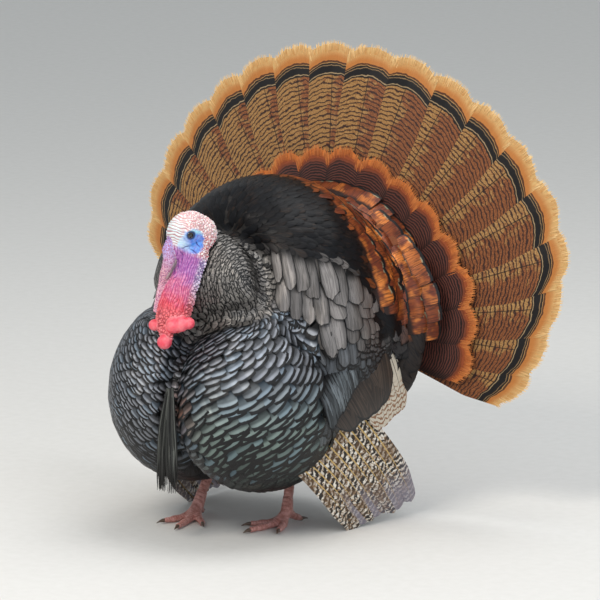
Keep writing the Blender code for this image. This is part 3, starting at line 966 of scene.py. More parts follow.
@dataclass
class Plumage:
    """The contour feathers that clothe the skin, in rows that flow away from the face and the shoulders."""

    body: Body
    # Length over row spacing, the least length over width, and width over spacing along the row.
    overlap: float = 2.5
    least_length: float = 1.3
    cover: float = 1.2
    # How much feathers vary in way, length, width, place along the row and tone.
    jitter: tuple[float, ...] = (0.09, 0.07, 0.06, 0.07, 0.12)
    # How far down a feather its open part lies, how far from the source distances are straight, first row.
    open_share: float = 0.92
    source_reach: float = 0.02
    first_row: float = 0.6
    # Row spacing and spacing along the row.
    rump_pace: tuple[float, float] = (0.0155, 0.026)
    back_pace: tuple[float, float] = (0.0115, 0.01)
    # The rump's first and last row to the rear, its turns from the top in radians, and where its rim starts.
    rump_depths: tuple[float, float] = (0.098, 0.2)
    rump_turns: tuple[float, float] = (-2.2, 2.4)
    rump_rim: float = 0.165
    # How far feathers of the main tract stay from the rump's rows and from the shoulders'.
    rump_gap: float = 0.018
    shoulder_gap: float = 0.024
    # How much of its row spacing the black band at a feather's tip takes up.
    bands: tuple[tuple[Zone, float], ...] = (
        (Zone.BREAST, 0.47), (Zone.COVERTS, 0.13), (Zone.RUFF, 0.4), (Zone.UNDER, 0.3), (Zone.RUMP, 0.3),
    )
    # Rows flow away from the nape, the throat and the top of the furrow.
    source: tuple[Place, ...] = (
        (0.0, -0.07, 0.462), (0.0, -0.108, 0.43), (0.0, -0.128, 0.385), (0.0, -0.122, 0.322),
    )
    shoulder: Shoulder = Shoulder()
    # Middle, reach, row spacing and width over row spacing of the stretches that differ.
    paces: tuple[tuple[Place, float, float, float], ...] = (
        ((0.0, -0.08, 0.39), 0.085, 0.0032, 3.6), ((0.0, -0.14, 0.3), 0.055, 0.007, 1.8),
        ((0.1, -0.09, 0.19), 0.085, 0.0105, 2.8), ((-0.1, -0.09, 0.22), 0.095, 0.005, 3.4),
        ((-0.08, -0.06, 0.12), 0.06, 0.009, 2.4), ((0.06, -0.04, 0.09), 0.07, 0.011, 2.6),
        ((0.0, 0.08, 0.48), 0.1, 0.012, 0.9), ((0.0, 0.12, 0.18), 0.09, 0.018, 1.3),
        ((0.15, 0.05, 0.25), 0.05, 0.015, 1.0), ((-0.15, 0.05, 0.25), 0.05, 0.015, 1.0),
    )

    def __post_init__(self) -> None:
        """Starts the coat."""
        self.coat = Coat(11, self.body.centre)

    def pace(self) -> tuple[Array, Array]:
        """Blends the named stretches.

        Returns:
            Row spacing, and spacing along the row, at each point of the skin.
        """
        total = weights = 0.0
        for middle, reach, spacing, ratio in self.paces:
            apart = norm(self.body.points - spot(*middle), axis=1)
            weight = (np.exp(-((apart / reach) ** 2)) + 1e-6)[:, None]
            total, weights = total + weight * (spacing, spacing * ratio), weights + weight
        shares = self.body.markings.shares(self.body.points)
        mixed = total / weights
        for zone, own in ((Zone.RUMP, self.rump_pace), (Zone.BACK, self.back_pace)):
            mixed = mixed + (np.array(own) - mixed) * shares[zone][:, None]
        return mixed[:, 0], mixed[:, 1]

    def batch(self, found: tuple[Array, ...], flow: Array, pace: Array, spread: Array) -> Batch:
        """Sizes and turns one feather for each root.

        Args:
            found: The roots, as Body.seeds gives them.
            flow: The way that feathers point, at each point of the skin.
            pace: Row spacing there.
            spread: Spacing along a row there.

        Returns:
            The feathers.
        """
        body, count = self.body, len(found[0])
        turned, longer, wider, moved, lighter = (
            self.coat.chance.normal(0.0, share, count) for share in self.jitter
        )
        roots, normal, way, row, wide = (
            between(values, *found) for values in (body.points, body.normals, flow, pace, spread)
        )
        normal = unit(normal)
        way = square_to(way + unit(np.cross(way, normal)) * turned[:, None], normal)
        length = np.maximum(row * self.overlap, wide * self.least_length) * (1.0 + longer)
        width = wide * self.cover * (1.0 + wider)
        roots = roots + unit(np.cross(way, normal)) * (wide * moved)[:, None]
        seen = self.seen(roots, way, length)
        shares = body.markings.shares(seen)
        tone = body.markings.tone(seen) * (1.0 + lighter)[:, None]
        band = sum(shares[zone] * part for zone, part in self.bands)
        band = band + 0.2 * shares[Zone.BREAST] * smooth(0.2, 0.11, seen[:, 2])
        return Batch(roots - normal * SUNK, way, normal, length, width, tone,
                     row * (0.5 - 0.3 * shares[Zone.BACK]), row * 0.06, edge=row * band)

    def seen(self, roots: Array, way: Array, length: Array) -> Array:
        """About where the part of each feather lies that no other covers."""
        return self.body.nearest(roots + way * (self.open_share * length)[:, None])

    def build(self) -> None:
        """Lays the whole coat in pieces that stay small enough."""
        body, coat = self.body, self.coat
        pace, spread = (body.eased(field, 4) for field in self.pace())
        rows = body.travel([spot(*place) for place in self.source], pace, self.source_reach)
        batch = self.batch(body.seeds(rows, spread, self.first_row), body.slope(rows), pace, spread)
        hung = self.shoulder.batch(body, coat.chance)
        LOG.info("contour feathers: %d, and %d on the shoulders", batch.count, hung.count)
        shares = body.markings.shares(self.seen(batch.roots, batch.along, batch.length))
        main = np.argmax(np.stack([shares[zone] for zone in Zone]), axis=0)
        parts = {zone: batch.taken(main == i) for i, zone in enumerate(Zone)}
        parts[Zone.COVERTS] = hung.joined(parts[Zone.COVERTS].clear_of(hung, self.shoulder_gap))
        dull, black = ContourFinish().build(), BlackFinish().build()
        flat = ContourFinish(satin=0.9, line=0.9, lines=0.35, shadow=0.3, depth=0.0).build()
        lined = ContourFinish(satin=0.2, lines=0.35, shadow=0.3, depth=0.0).build()
        for zone, name, slot, finish, cut in (
            (Zone.RUFF, "ruff_feathers", "bronze_feather", lined, Cut(3, 5)),
            (Zone.BREAST, "breast_feathers", "bronze_feather", dull, Cut()),
            (Zone.COVERTS, "scapular_feathers", "bronze_feather", flat,
             Cut(6, 8, roundness=0.1, squareness=3.0, narrowing=0.16)),
            (Zone.BACK, "back_feathers", "black_feather", black,
             Cut(growth=0.5, roundness=0.22, squareness=2.0)),
            (Zone.UNDER, "under_feathers", "black_feather", black, Cut()),
        ):
            coat.hang(name, slot, parts[zone], cut, finish, bend=body.drape)
        self.rump(parts[Zone.RUMP])

    def rump(self, under: Batch) -> None:
        """The copper rows that ring the lower back, in arcs about the middle of the fan.

        Args:
            under: Feathers of the main tract there, kept where the rows do not reach.
        """
        body, coat, vary = self.body, self.coat, self.coat.chance.normal
        (front, rear), (first, last), (row, abreast) = self.rump_depths, self.rump_turns, self.rump_pace
        step = abreast / 0.2
        found = []
        for number, depth in enumerate(np.arange(front, rear, row)):
            for turn in np.arange(first + (number % 2) * step / 2, last, step):
                ray = np.array((math.sin(turn), 0.0, math.cos(turn)))
                start = spot(*TailFan.centre) + ray * RAY
                start[1] = ORIGIN[1] + depth
                place, facing, _, _ = body.tree.ray_cast(Vector(start), Vector(-ray))
                if place is None or place.z < body.markings.rump_floor(depth):
                    continue
                place, facing = np.array(place), np.array(facing)
                way = unit(0.6 * ray + (0, 1.0 + vary(0.0, 0.02), 0))
                way = unit(way + np.cross(way, facing) * vary(0.0, 0.05))
                along = unit(way - facing * (way @ facing) * 0.92)
                found.append((place - SUNK * facing, along, facing))
        roots, along, normal = np.array(found).swapaxes(0, 1)
        length = 0.034 * vary(1.0, 0.04, len(roots))
        rows = Batch(roots, along, square_to(normal, along), length, abreast * 1.25,
                     linear3(body.markings.rump), 0.005, 0.001, 0.0015)
        cut = Cut(across=6, along=8, roundness=0.07, squareness=2.5, waist=0.85, ragged=0.01)
        finish = RumpFinish().build()
        rim = roots[:, 1] > ORIGIN[1] + self.rump_rim
        side = rows.taken(~rim).joined(under.clear_of(rows, self.rump_gap))
        coat.middle = body.centre + (0, -0.2, 0)
        coat.hang("rump_feathers", "rump_feather", rows.taken(rim), cut, finish)
        coat.hang("rump_side_feathers", "rump_feather", side, cut, finish, bend=body.drape)


# ---- tail


@dataclass
class TailFan:
    """The spread tail: eighteen rectrices with the greater coverts in front of them."""

    centre: Place = (0.004, 0.2, 0.275)
    sweep: float = 0.15
    rectrices: int = 18
    span: tuple[float, float] = (-84.0, 108.0)
    outline: tuple[tuple[float, float], ...] = (
        (-84, 0.378), (-79, 0.408), (-70, 0.424), (-35, 0.42), (0, 0.42), (25, 0.43), (45, 0.438),
        (62, 0.439), (72, 0.428), (80, 0.402), (91, 0.37), (101, 0.346), (108, 0.318),
    )
    step_back: float = 0.0011
    quill: float = 0.05
    covert_count: int = 14
    covert_span: tuple[float, float] = (-76.0, 98.0)

    def __post_init__(self) -> None:
        """Starts the coat, with its middle in front of the fan."""
        self.coat = Coat(23, spot(*self.centre) + (0, -0.3, 0))

    def reach(self, angle: Array) -> Array:
        """How far the fan's edge is from its centre at each angle, in degrees."""
        angles, reaches = zip(*self.outline)
        return np.interp(angle, angles, reaches)

    def rays(self, angle: Array) -> tuple[Array, Array]:
        """Direction of each ray of the fan and the way its upper face looks."""
        turn = np.radians(angle)
        along = unit(np.stack([np.sin(turn), np.full_like(turn, self.sweep), np.cos(turn)], axis=1))
        front = np.array((0.0, -1.0, 0.0))
        return along, square_to(front, along)

    def row(self, angle: Array, start: float, length: Array, width: Array | float, lift: float,
            tone: Array, step: float) -> Batch:
        """One row of vanes round the fan.

        Args:
            angle: Each vane's angle from straight up, in degrees.
            start: Distance of the roots from the centre.
            length: Of each vane.
            width: Of each vane.
            lift: How far in front of the fan's plane the row lies.
            tone: Their colour.
            step: How far each vane lies behind its inner neighbour.

        Returns:
            The batch.
        """
        along, normal = self.rays(angle)
        rank = np.abs(np.arange(len(angle)) - (len(angle) - 1) / 2)
        roots = spot(*self.centre) + along * start + normal * (lift - rank * step)[:, None]
        return Batch(roots, along, normal, length, width, tone, camber=0.0022)

    def build(self) -> None:
        """Builds every row, front and rear."""
        half = (self.span[1] - self.span[0]) / (2 * self.rectrices)
        angle = np.linspace(self.span[0] + half, self.span[1] - half, self.rectrices)
        reach = self.reach(angle)
        cut = Cut(across=12, along=30, waist=0.26, growth=1.15, roundness=0.05, squareness=2.2,
                  narrowing=0.02, ragged=0.0022)
        vanes = self.row(angle, self.quill, reach - self.quill, reach * np.radians(half * 2) * 1.22, 0.0,
                         linear3("#b08a50"), self.step_back)
        points = self.coat.hang("tail_rectrices", "tail_feather", vanes, cut, RectrixFinish().build(),
                                ["tail_fan"], trim=lambda laid: self.trimmed(laid, cut, reach))
        self.fringe("tail_fringe", "tail_feather", vanes, cut, points, 0.015, 70, ("#f0cf94", "#c98a45"))
        self.coverts()

    def fringe(self, name: str, slot: str, vanes: Batch, cut: Cut, points: Array, length: float,
               barbs: int, tints: tuple[str, str]) -> None:
        """Loose barbs that stand out beyond the tips of a row of vanes.

        Args:
            name: Of the piece.
            slot: Its material slot.
            vanes: The row.
            cut: Its shape.
            points: Its laid points.
            length: Of a barb.
            barbs: How many on each tip.
            tints: The colour of a barb's end and of its root.
        """
        side, chance, vary = cut.across + 1, self.coat.chance, self.coat.chance.normal
        grid = points.reshape(vanes.count, cut.along + 1, side, 3)
        place = np.sort(chance.random((vanes.count, barbs)), axis=1) * (side - 1)
        low = np.minimum(place.astype(int), side - 2)
        share, row = (place - low)[..., None], np.arange(vanes.count)[:, None]
        ends, bases = (
            line[row, low] * (1 - share) + line[row, low + 1] * share
            for line in (grid[:, -1], grid[:, -1 - max(1, cut.along // 8)])
        )
        normal = np.repeat(vanes.normal, barbs, axis=0)
        splay = (place / (side - 1) - 0.5).reshape(-1, 1) + vary(0, 0.1, (vanes.count * barbs, 1))
        across = np.repeat(unit(np.cross(vanes.along, vanes.normal)), barbs, axis=0)
        way = unit((ends - bases).reshape(-1, 3))
        way = unit(way + across * splay * 0.55 + normal * vary(0.03, 0.04, splay.shape))
        normal = square_to(normal, way)
        long = length * vary(1.0, 0.15, len(way))
        roots = ends.reshape(-1, 3) - way * (long * 0.66)[:, None] + normal * 0.0007
        batch = Batch(roots, way, normal, long, 0.0011, linear3(tints[0]), bow=0.0004)
        barb = Cut(across=1, along=3, waist=1.0, growth=1.0, roundness=0.0, narrowing=0.85, ragged=0.0)
        self.coat.hang(name, slot, batch, barb, BarbFinish(*tints).build())

    def trimmed(self, points: Array, cut: Cut, reach: Array) -> Array:
        """Brings each part of each tip to the fan's edge, where the edge is not level across a vane.

        Args:
            points: The laid points of the row.
            cut: Its shape.
            reach: How far from the centre each vane's middle goes.

        Returns:
            The corrected points.
        """
        away = points - spot(*self.centre)
        angle = np.clip(np.degrees(np.arctan2(away[..., 0], away[..., 2])), *self.span)
        grown = cut.template()[0][:, 1] ** 2 * (self.reach(angle) / reach[:, None] - 1.0)
        return points + away * grown[..., None]

    def coverts(self) -> None:
        """The greater coverts, whose orange tips lie on the rectrices."""
        angle = np.linspace(*self.covert_span, self.covert_count)
        cut = Cut(across=8, along=14, waist=0.4, growth=0.9, roundness=0.14, squareness=2.2,
                  narrowing=0.02, ragged=0.004)
        length = 0.162 + self.coat.chance.normal(0.0, 0.0045, self.covert_count)
        row = self.row(angle, 0.1, length, 0.074, 0.007, linear3("#4a2a24"), 0.0006)
        points = self.coat.hang("tail_greater_coverts", "covert_feather", row, cut, CovertFinish().build(),
                                ["tail_coverts"])
        self.fringe("covert_fringe", "covert_feather", row, cut, points, 0.016, 60, ("#d68440", "#9c4c22"))


# ---- wings


@dataclass(frozen=True)
class Quills:
    """One row of wing feathers, between a line of roots and a line of tips, on the bird's left side."""

    name: str
    count: int
    roots: tuple[Place, Place]
    tips: tuple[Place, Place]
    width: float
    shaft: float
    step: float
    bow: float = 0.012
    tip_span: tuple[float, float] = (0.0, 1.0)


@dataclass
class Wing:
    """One drooped wing: greater coverts, secondaries, the pale strip behind them and the barred primaries."""

    side: Side
    primaries: Quills = Quills(
        "primaries", 10, ((0.12, -0.03, 0.125), (0.156, 0.066, 0.195)),
        ((0.151, 0.083, 0.002), (0.16, 0.212, 0.022)), 0.036, 0.001, 0.0009, 0.016,
        tip_span=(0.02, 1.0),
    )
    pale: Quills = Quills(
        "pale_secondaries", 6, ((0.158, 0.05, 0.29), (0.156, 0.105, 0.33)),
        ((0.182, 0.112, 0.15), (0.178, 0.166, 0.172)), 0.045, 0.0007, 0.0008,
    )
    secondaries: Quills = Quills(
        "secondaries", 5, ((0.15, 0.0, 0.255), (0.15, 0.07, 0.315)),
        ((0.19, 0.04, 0.163), (0.188, 0.104, 0.186)), 0.074, 0.0005, 0.0014,
    )
    coverts: Quills = Quills(
        "greater_coverts", 22, ((0.16, -0.015, 0.235), (0.158, 0.082, 0.335)),
        ((0.187, -0.01, 0.17), (0.184, 0.088, 0.268)), 0.0135, 0.0004, 0.0003, 0.008,
    )

    def __post_init__(self) -> None:
        """Starts the coat, with its middle inside the body."""
        self.coat = Coat(31 + self.side.value, ORIGIN + (0.0, 0.05, 0.2))

    def quills(self, row: Quills) -> Batch:
        """Lays out one row for this side.

        Args:
            row: The row's places and sizes.

        Returns:
            The batch, each vane a little outside its lower neighbour.
        """
        chance = self.coat.chance
        flip = np.array((self.side.value, 1, 1))
        near, far = (np.array(end) for end in row.roots)
        low, high = (np.array(end) for end in row.tips)
        share = np.linspace(0, 1, row.count)[:, None]
        first, last = row.tip_span
        roots, tips = near + (far - near) * share, low + (high - low) * (first + (last - first) * share)
        along = tips - roots
        chain = unit((far - near) + (high - low))
        normal = unit(np.cross(unit(along), np.broadcast_to(chain, along.shape)))
        normal = normal * np.sign(normal[:, :1])
        roots = roots + normal * (np.arange(row.count)[:, None] * row.step)
        length = norm(along, axis=1) * chance.normal(1.0, 0.012, row.count)
        tone = linear3("#6c7377") * chance.normal(1.0, 0.3, (row.count, 1))
        return Batch(roots * flip + ORIGIN, unit(along) * flip, normal * flip, length, row.width, tone,
                     camber=0.0015, bow=row.bow, edge=0.0032)

    def build(self) -> None:
        """Builds the four rows, and the shafts of all but the coverts."""
        coat, word = self.coat, self.side.word
        satin = ContourFinish(satin=1.0, line=0.74, lines=0.6, shadow=0.3, depth=0.0)
        dark = ShaftFinish("#463a31", "#2a221c")
        for row, finish, shaft, cut, slot, nodes in (
            (self.primaries, PrimaryFinish(), ShaftFinish(), Cut(8, 24, 0.55, 0.8, 0.055, 2.0, 0.3, 0.004),
             "wing_feather", [f"wing_{word}_primaries"]),
            (self.pale, PaleFinish(), dark, Cut(8, 14, 0.5, 0.6, 0.16, 2.2, 0.1, 0.004),
             "secondary_feather", []),
            (self.secondaries, SecondaryFinish(), dark, Cut(10, 16, 0.5, 0.6, 0.26, 2.2, 0.05, 0.002),
             "secondary_feather", [f"wing_{word}_secondaries"]),
            (self.coverts, satin, None, Cut(6, 8, 0.6, 0.5, 0.1, 2.5, 0.05, 0.01), "bronze_feather", []),
        ):
            batch, name = self.quills(row), f"wing_{word}_{row.name}"
            coat.hang(f"{name}_vanes", slot, batch, cut, finish.build(), nodes)
            if shaft:
                coat.hang(f"{name}_shafts", slot, batch.shafts(row.shaft), SHAFT_CUT, shaft.build())


# ---- head


def distance_to(points: Array, line: Sequence[Sequence[float]]) -> tuple[Array, Array]:
    """How far each point is from a broken line, and how far along it its nearest place is, from 0 to 1."""
    knots = np.array(line)
    lengths = norm(np.diff(knots, axis=0), axis=1)
    starts = np.concatenate([[0.0], np.cumsum(lengths)])
    best, place = np.full(len(points), np.inf), np.zeros(len(points))
    for i, length in enumerate(lengths):
        way = knots[i + 1] - knots[i]
        share = np.clip((points - knots[i]) @ way / length**2, 0.0, 1.0)
        apart = norm(points - knots[i] - share[:, None] * way, axis=1)
        closer = apart < best
        best = np.where(closer, apart, best)
        place = np.where(closer, (starts[i] + share * length) / starts[-1], place)
    return best, place


def cells(points: Array, size: float) -> Array:
    """Height of rounded warts this far apart at each point, from 0 between them to 1 on top."""
    found = np.array([noise.voronoi(Vector(p) / size)[0][:2] for p in points])
    return smooth(0.0, 0.45, found[:, 1] - found[:, 0])


def ripple(points: Array, size: float, seed: float) -> Array:
    """Soft noise of this size at each point, from about -1 to 1."""
    return np.array([noise.noise(Vector(p) / size + Vector((seed, seed, seed))) for p in points])


def grooves(run: Array, period: float, width: float) -> Array:
    """Grooves this far apart along a run: -1 at their bottoms and 0 between them."""
    return -np.exp(-(((np.mod(run, period) - period / 2) / width) ** 2))


@dataclass
class Head:
    """The naked head, snood, throat and caruncles as one skin, with the eyes and the bill."""

    centre: Place = (0.0, -0.1266, 0.459)
    turn: float = math.radians(-20.0)
    voxel: float = 0.0008
    eye: Place = (0.0182, 0.001, -0.0005)
    eye_radius: float = 0.0064
    eye_tilt: float = math.radians(8)
    lid_opening: float = math.radians(43.0)
    snood: tuple[Place, ...] = (
        (0, -0.022, -0.01), (0.004, -0.0275, -0.022), (0.0065, -0.0265, -0.037), (0.0005, -0.0297, -0.0545),
        (-0.0094, -0.03, -0.072), (-0.0114, -0.0343, -0.0915), (-0.0127, -0.0403, -0.116),
    )
    snood_radii: tuple[float, ...] = (0.006, 0.008, 0.0085, 0.007, 0.0048, 0.004, 0.0032)
    throat: tuple[Place, ...] = (
        (0, 0.017, -0.034), (0, 0.01, -0.056), (0, -0.0055, -0.086), (0, -0.0153, -0.112),
        (0.001, -0.0205, -0.13), (0.002, -0.023, -0.143),
    )
    # Swellings that join the caruncles to the throat and to each other, with their radii.
    joins: tuple[tuple[float, float, float, float], ...] = (
        (-0.016, -0.156, 0.323, 0.0085), (0.021, -0.156, 0.33, 0.0108), (-0.004, -0.16, 0.317, 0.0105),
        (0.002, -0.164, 0.309, 0.008), (0.01, -0.15, 0.336, 0.013),
    )
    nodes: tuple[str, ...] = (
        "head", "throat", "snood", "caruncle_left", "caruncle_right", "caruncle_outer", "caruncle_lower",
    )

    def matrix(self) -> Matrix:
        """From the head's own axes to the frame's."""
        return Matrix.Translation(spot(*self.centre)) @ Matrix.Rotation(self.turn, 4, "Z")

    def local(self, points: Array) -> Array:
        """Places in the frame, on the head's own axes: x to its left, y to its rear, z up."""
        back = np.array(self.matrix().inverted())
        return points @ back[:3, :3].T + back[:3, 3]

    def socket(self, sign: int) -> Matrix:
        """From an eyeball's own axes, z out of the head, to the frame's; sign is 1 on the bird's left."""
        x, y, z = self.eye
        aim = Matrix.Rotation(math.radians(90 * sign), 4, "Y") @ Matrix.Rotation(self.eye_tilt, 4, "X")
        return self.matrix() @ Matrix.Translation((x * sign, y, z)) @ aim

    def lids(self) -> bmesh.types.BMesh:
        """Two thick cups that cover the eyeballs but for a round opening each, and the joins."""
        bm = bmesh.new()
        for *place, radius in self.joins:
            at = Matrix.Translation(spot(*place))
            bmesh.ops.create_icosphere(bm, subdivisions=3, radius=radius, matrix=at)
        for sign in (1, -1):
            part = bmesh.new()
            bmesh.ops.create_uvsphere(part, u_segments=40, v_segments=36, radius=self.eye_radius + 0.0013)
            ahead = Vector((0, 0, 1))
            gone = [f for f in part.faces if f.calc_center_median().angle(ahead) < self.lid_opening]
            bmesh.ops.delete(part, geom=gone, context="FACES")
            bmesh.ops.solidify(part, geom=part.faces[:], thickness=0.0012)
            bmesh.ops.recalc_face_normals(part, faces=part.faces)
            bmesh.ops.transform(part, matrix=self.socket(sign), verts=part.verts)
            poured(part, bm)
        return bm

    def build(self) -> None:
        """Makes the skin, the eyes and the bill."""
        gathered = self.lids()
        gathered.from_mesh(solid_copies(self.nodes, 0.0004))
        mesh = fused(mesh_of(gathered, "head"), self.voxel, 9)
        self.sculpt(mesh)
        fitted("head_skin", mesh, FaceFinish().build(), "head_skin", *self.nodes)
        self.eyes()
        self.bill()

    def sculpt(self, mesh: Mesh) -> None:
        """Raises folds, warts and wrinkles, and marks where each colour of the skin lies."""
        points, normals = surface_of(mesh)
        q = self.local(points)
        x, y, z = q.T
        off_snood, along_snood = distance_to(q, self.snood)
        along_throat = distance_to(q, self.throat)[1]
        boxes = [np.array(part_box(name)) for name in self.nodes if name.startswith("caruncle")]
        balls = [box.sum(axis=0) / 2 for box in boxes]
        sizes = [np.ptp(box, axis=0).max() / 2 for box in boxes]
        off_ball = np.min([norm(points - b, axis=1) / r for b, r in zip(balls, sizes)], axis=0)
        off_ball = np.minimum(off_ball, distance_to(points, [balls[0], balls[2]])[0] / 0.0105)
        ball = smooth(1.34, 1.1, off_ball)
        thick = np.interp(along_snood, np.linspace(0, 1, len(self.snood_radii)), self.snood_radii)
        snood = smooth(1.45, 1.15, off_snood / thick) * (1 - ball)
        throat = smooth(-0.028, -0.04, z + 0.5 * (y - 0.014)) * (1 - snood) * (1 - ball)
        head = (1 - throat) * (1 - snood) * (1 - ball)
        ex, ey, ez = self.eye
        turn = np.hypot(y - ey, (z - ez) / 0.92)
        near_eye = np.hypot(turn, np.minimum(0.0, np.abs(x) - ex + 0.004))
        wob = ripple(q, 0.006, 3.0)
        behind, above = y - 0.0045, z + 0.011
        lobes = 0.0185 + 0.004 * np.exp(-((np.arctan2(above, behind) + 2.65) / 0.5) ** 2) + 0.0018 * wob
        blue = smooth(1.1, 0.86, np.hypot(behind, above) / lobes + 0.1 * ripple(q, 0.003, 12.0))
        blue = blue * smooth(0.006, 0.01, np.abs(x)) * (1 - snood) * (0.85 + 0.15 * wob)
        pale = smooth(0.0005, 0.007, z + 0.25 * (y - ey) + 0.0012 * wob) * (1 - throat)
        rings = np.sin(near_eye / 0.00052 * 0.5 + 1.3 * wob) * smooth(0.005, 0.0065, near_eye)
        rings = rings * smooth(0.017, 0.01, near_eye) * 0.00035
        pouch = 0.0012 * np.exp(-(((y - 0.002) / 0.009) ** 2 + ((z + 0.0125) / 0.0035) ** 2)) * blue
        bent = 0.0016 * ripple(q, 0.005, 6.0)
        slit = -0.0016 * blue * np.maximum.reduce([
            np.exp(-(((y - at_y) / long_y) ** 2 + ((z - at_z - slope * y + bent) / 0.001) ** 2))
            for at_y, long_y, at_z, slope in ((-0.005, 0.006, -0.0175, 0.25), (0.006, 0.005, -0.02, -0.9),
                                              (0.012, 0.004, -0.002, -1.1))
        ])
        front = smooth(0.006, -0.006, y)
        lines = z + 0.3 * y + 0.003 * ripple(q * (0.6, 1.0, 1.0), 0.009, 9.0)
        furrows = grooves(lines, 0.0042, 0.0008)
        crown = head * (1 - blue)
        brow = furrows * 0.00085 * crown * front
        warts = cells(q + 0.0008 * wob[:, None], 0.0037)
        rear = (warts - 0.55) * 0.0015 * crown * (1 - front)
        around = np.arctan2(x - 0.001, -(y - np.interp(z, [-0.14, -0.03], [-0.022, 0.014])))
        strings = around * 7.0 + 1.1 * ripple(q * (1.0, 1.0, 0.4), 0.009, 5.0)
        reticule = grooves(strings, 1.0, 0.14) * 0.001
        beads = (cells(q * (1.0, 1.0, 0.9), 0.0042) - 0.5) * 0.0028
        fringe = np.maximum(smooth(1.5, 1.85, np.abs(around)), smooth(0.66, 0.86, along_throat))
        neck = throat * (reticule * (1 - fringe) + beads * fringe)
        bands = np.sin(along_snood * 130.0 + 2.5 * ripple(q, 0.005, 7.0)) * 0.00022 * snood
        pits = -0.0006 * snood * smooth(0.6, 0.85, 1 - cells(q, 0.0024))
        swell = ball * 0.00018 * ripple(q, 0.0016, 1.0)
        height = rings + pouch + slit + brow + rear + neck + bands + pits + swell
        for side in (ex, -ex):
            off_eye = norm(q - (side, ey, ez), axis=1) / self.eye_radius
            height = height * smooth(1.02, 1.22, off_eye)
        set_points(mesh, points + normals * height[:, None])
        folds = np.clip(-slit / 0.0012, 0, 1) + 0.5 * np.clip(-rings / 0.0003 * (0.5 + wob), 0, 1)
        wart_rims = 1.8 * (0.52 - warts) * crown * (1 - front)
        groove = -(brow / 0.00085) + np.clip(-neck / 0.0009, 0, 1) + wart_rims + blue * folds
        groove = np.clip(groove, 0.0, 1.0)
        set_attribute(mesh, "zone", np.stack([blue, throat, snood], axis=1))
        set_attribute(mesh, "more", np.stack([ball, pale, fringe], axis=1))
        set_attribute(mesh, "run", np.stack([along_throat, along_snood, groove], axis=1))
        set_attribute(mesh, "lid", smooth(0.0084, 0.0056, near_eye + 0.0006 * wob))
        set_attribute(mesh, "lore", smooth(0.0, -0.014, y + 0.3 * z) * (1 - throat) * (1 - snood))

    def eyes(self) -> None:
        """Dark wet eyeballs with a brown iris."""
        for side in Side:
            bm = bmesh.new()
            bmesh.ops.create_uvsphere(bm, u_segments=48, v_segments=32, radius=self.eye_radius)
            angle = np.array([v.co.angle(Vector((0, 0, 1))) for v in bm.verts])
            for vert, turned in zip(bm.verts, angle):
                vert.co.z += 0.0007 * float(smooth(0.55, 0.1, turned))
            bmesh.ops.transform(bm, matrix=self.socket(side.value), verts=bm.verts)
            mesh = mesh_of(bm, "eye")
            set_attribute(mesh, "turned", angle)
            fitted(f"eyeball_{side.word}", mesh, EyeFinish().build(), "eye", f"eye_{side.word}")

    def bill(self) -> None:
        """The two horn halves of the bill, smoothed from their solids."""
        for half in ("upper", "lower"):
            mesh = fused(solid_copies([f"bill_{half}"], 0.0), 0.0008, 4)
            fitted(f"bill_{half}_horn", mesh, BillFinish().build(), "bill_horn", f"bill_{half}")


# ---- legs and beard


@dataclass
class Leg:
    """One scaled leg: shank, foot and claws."""

    side: Side
    foot: Place
    hock_back: float
    voxel: float = 0.0012
    hock_rise: float = 0.15
    scute: float = 0.0058
    toe_ring: float = 0.0042

    def build(self) -> None:
        """Makes the scaled skin, the claws and the spur."""
        word = self.side.word
        limb = [f"foot_{word}", f"shank_{word}"]
        mesh = fused(solid_copies(limb, 0.0003), self.voxel, 4)
        points, normals = surface_of(mesh)
        foot = spot(*self.foot)
        ankle = foot + (0, 0.004, 0.02)
        hock = foot + (-0.012 * self.side.value, self.hock_back, self.hock_rise)
        axis = (hock - ankle) / norm(hock - ankle)
        rise = (points - ankle) @ axis
        shank = smooth(-0.002, 0.01, rise)
        flat = points - foot
        radius = np.hypot(flat[:, 0], flat[:, 1])
        front = smooth(0.2, 0.6, -normals[:, 1])
        middle = np.abs(normals[:, 0]) * 0.0012
        plates = grooves(rise + middle, self.scute, 0.0006) * 0.0007 * shank * front
        tops = smooth(-0.2, 0.4, normals[:, 2])
        rings = grooves(radius, self.toe_ring, 0.0005) * 0.0006 * (1 - shank) * tops
        rings = rings * smooth(0.012, 0.02, radius)
        where = np.maximum(shank * (1 - front), 1 - shank - tops)
        net = (cells(points, 0.0026) - 0.5) * 0.0005 * where
        height = (plates + rings + net) * smooth(0.0008, 0.0022, points[:, 2])
        set_points(mesh, points + normals * height[:, None])
        set_attribute(mesh, "groove", np.clip(-height / 0.0005, 0.0, 1.0))
        fitted(f"leg_{word}_scales", mesh, ScaleFinish().build(), "leg_scale", *limb)
        horns = [f"claw_{word}_{toe}" for toe in ("inner", "middle", "outer", "hind")] + [f"spur_{word}"]
        mesh = fused(solid_copies(horns, 0.0), 0.0007, 3)
        fitted(f"claws_{word}_horn", mesh, ClawFinish().build(), "claw_horn", *horns)


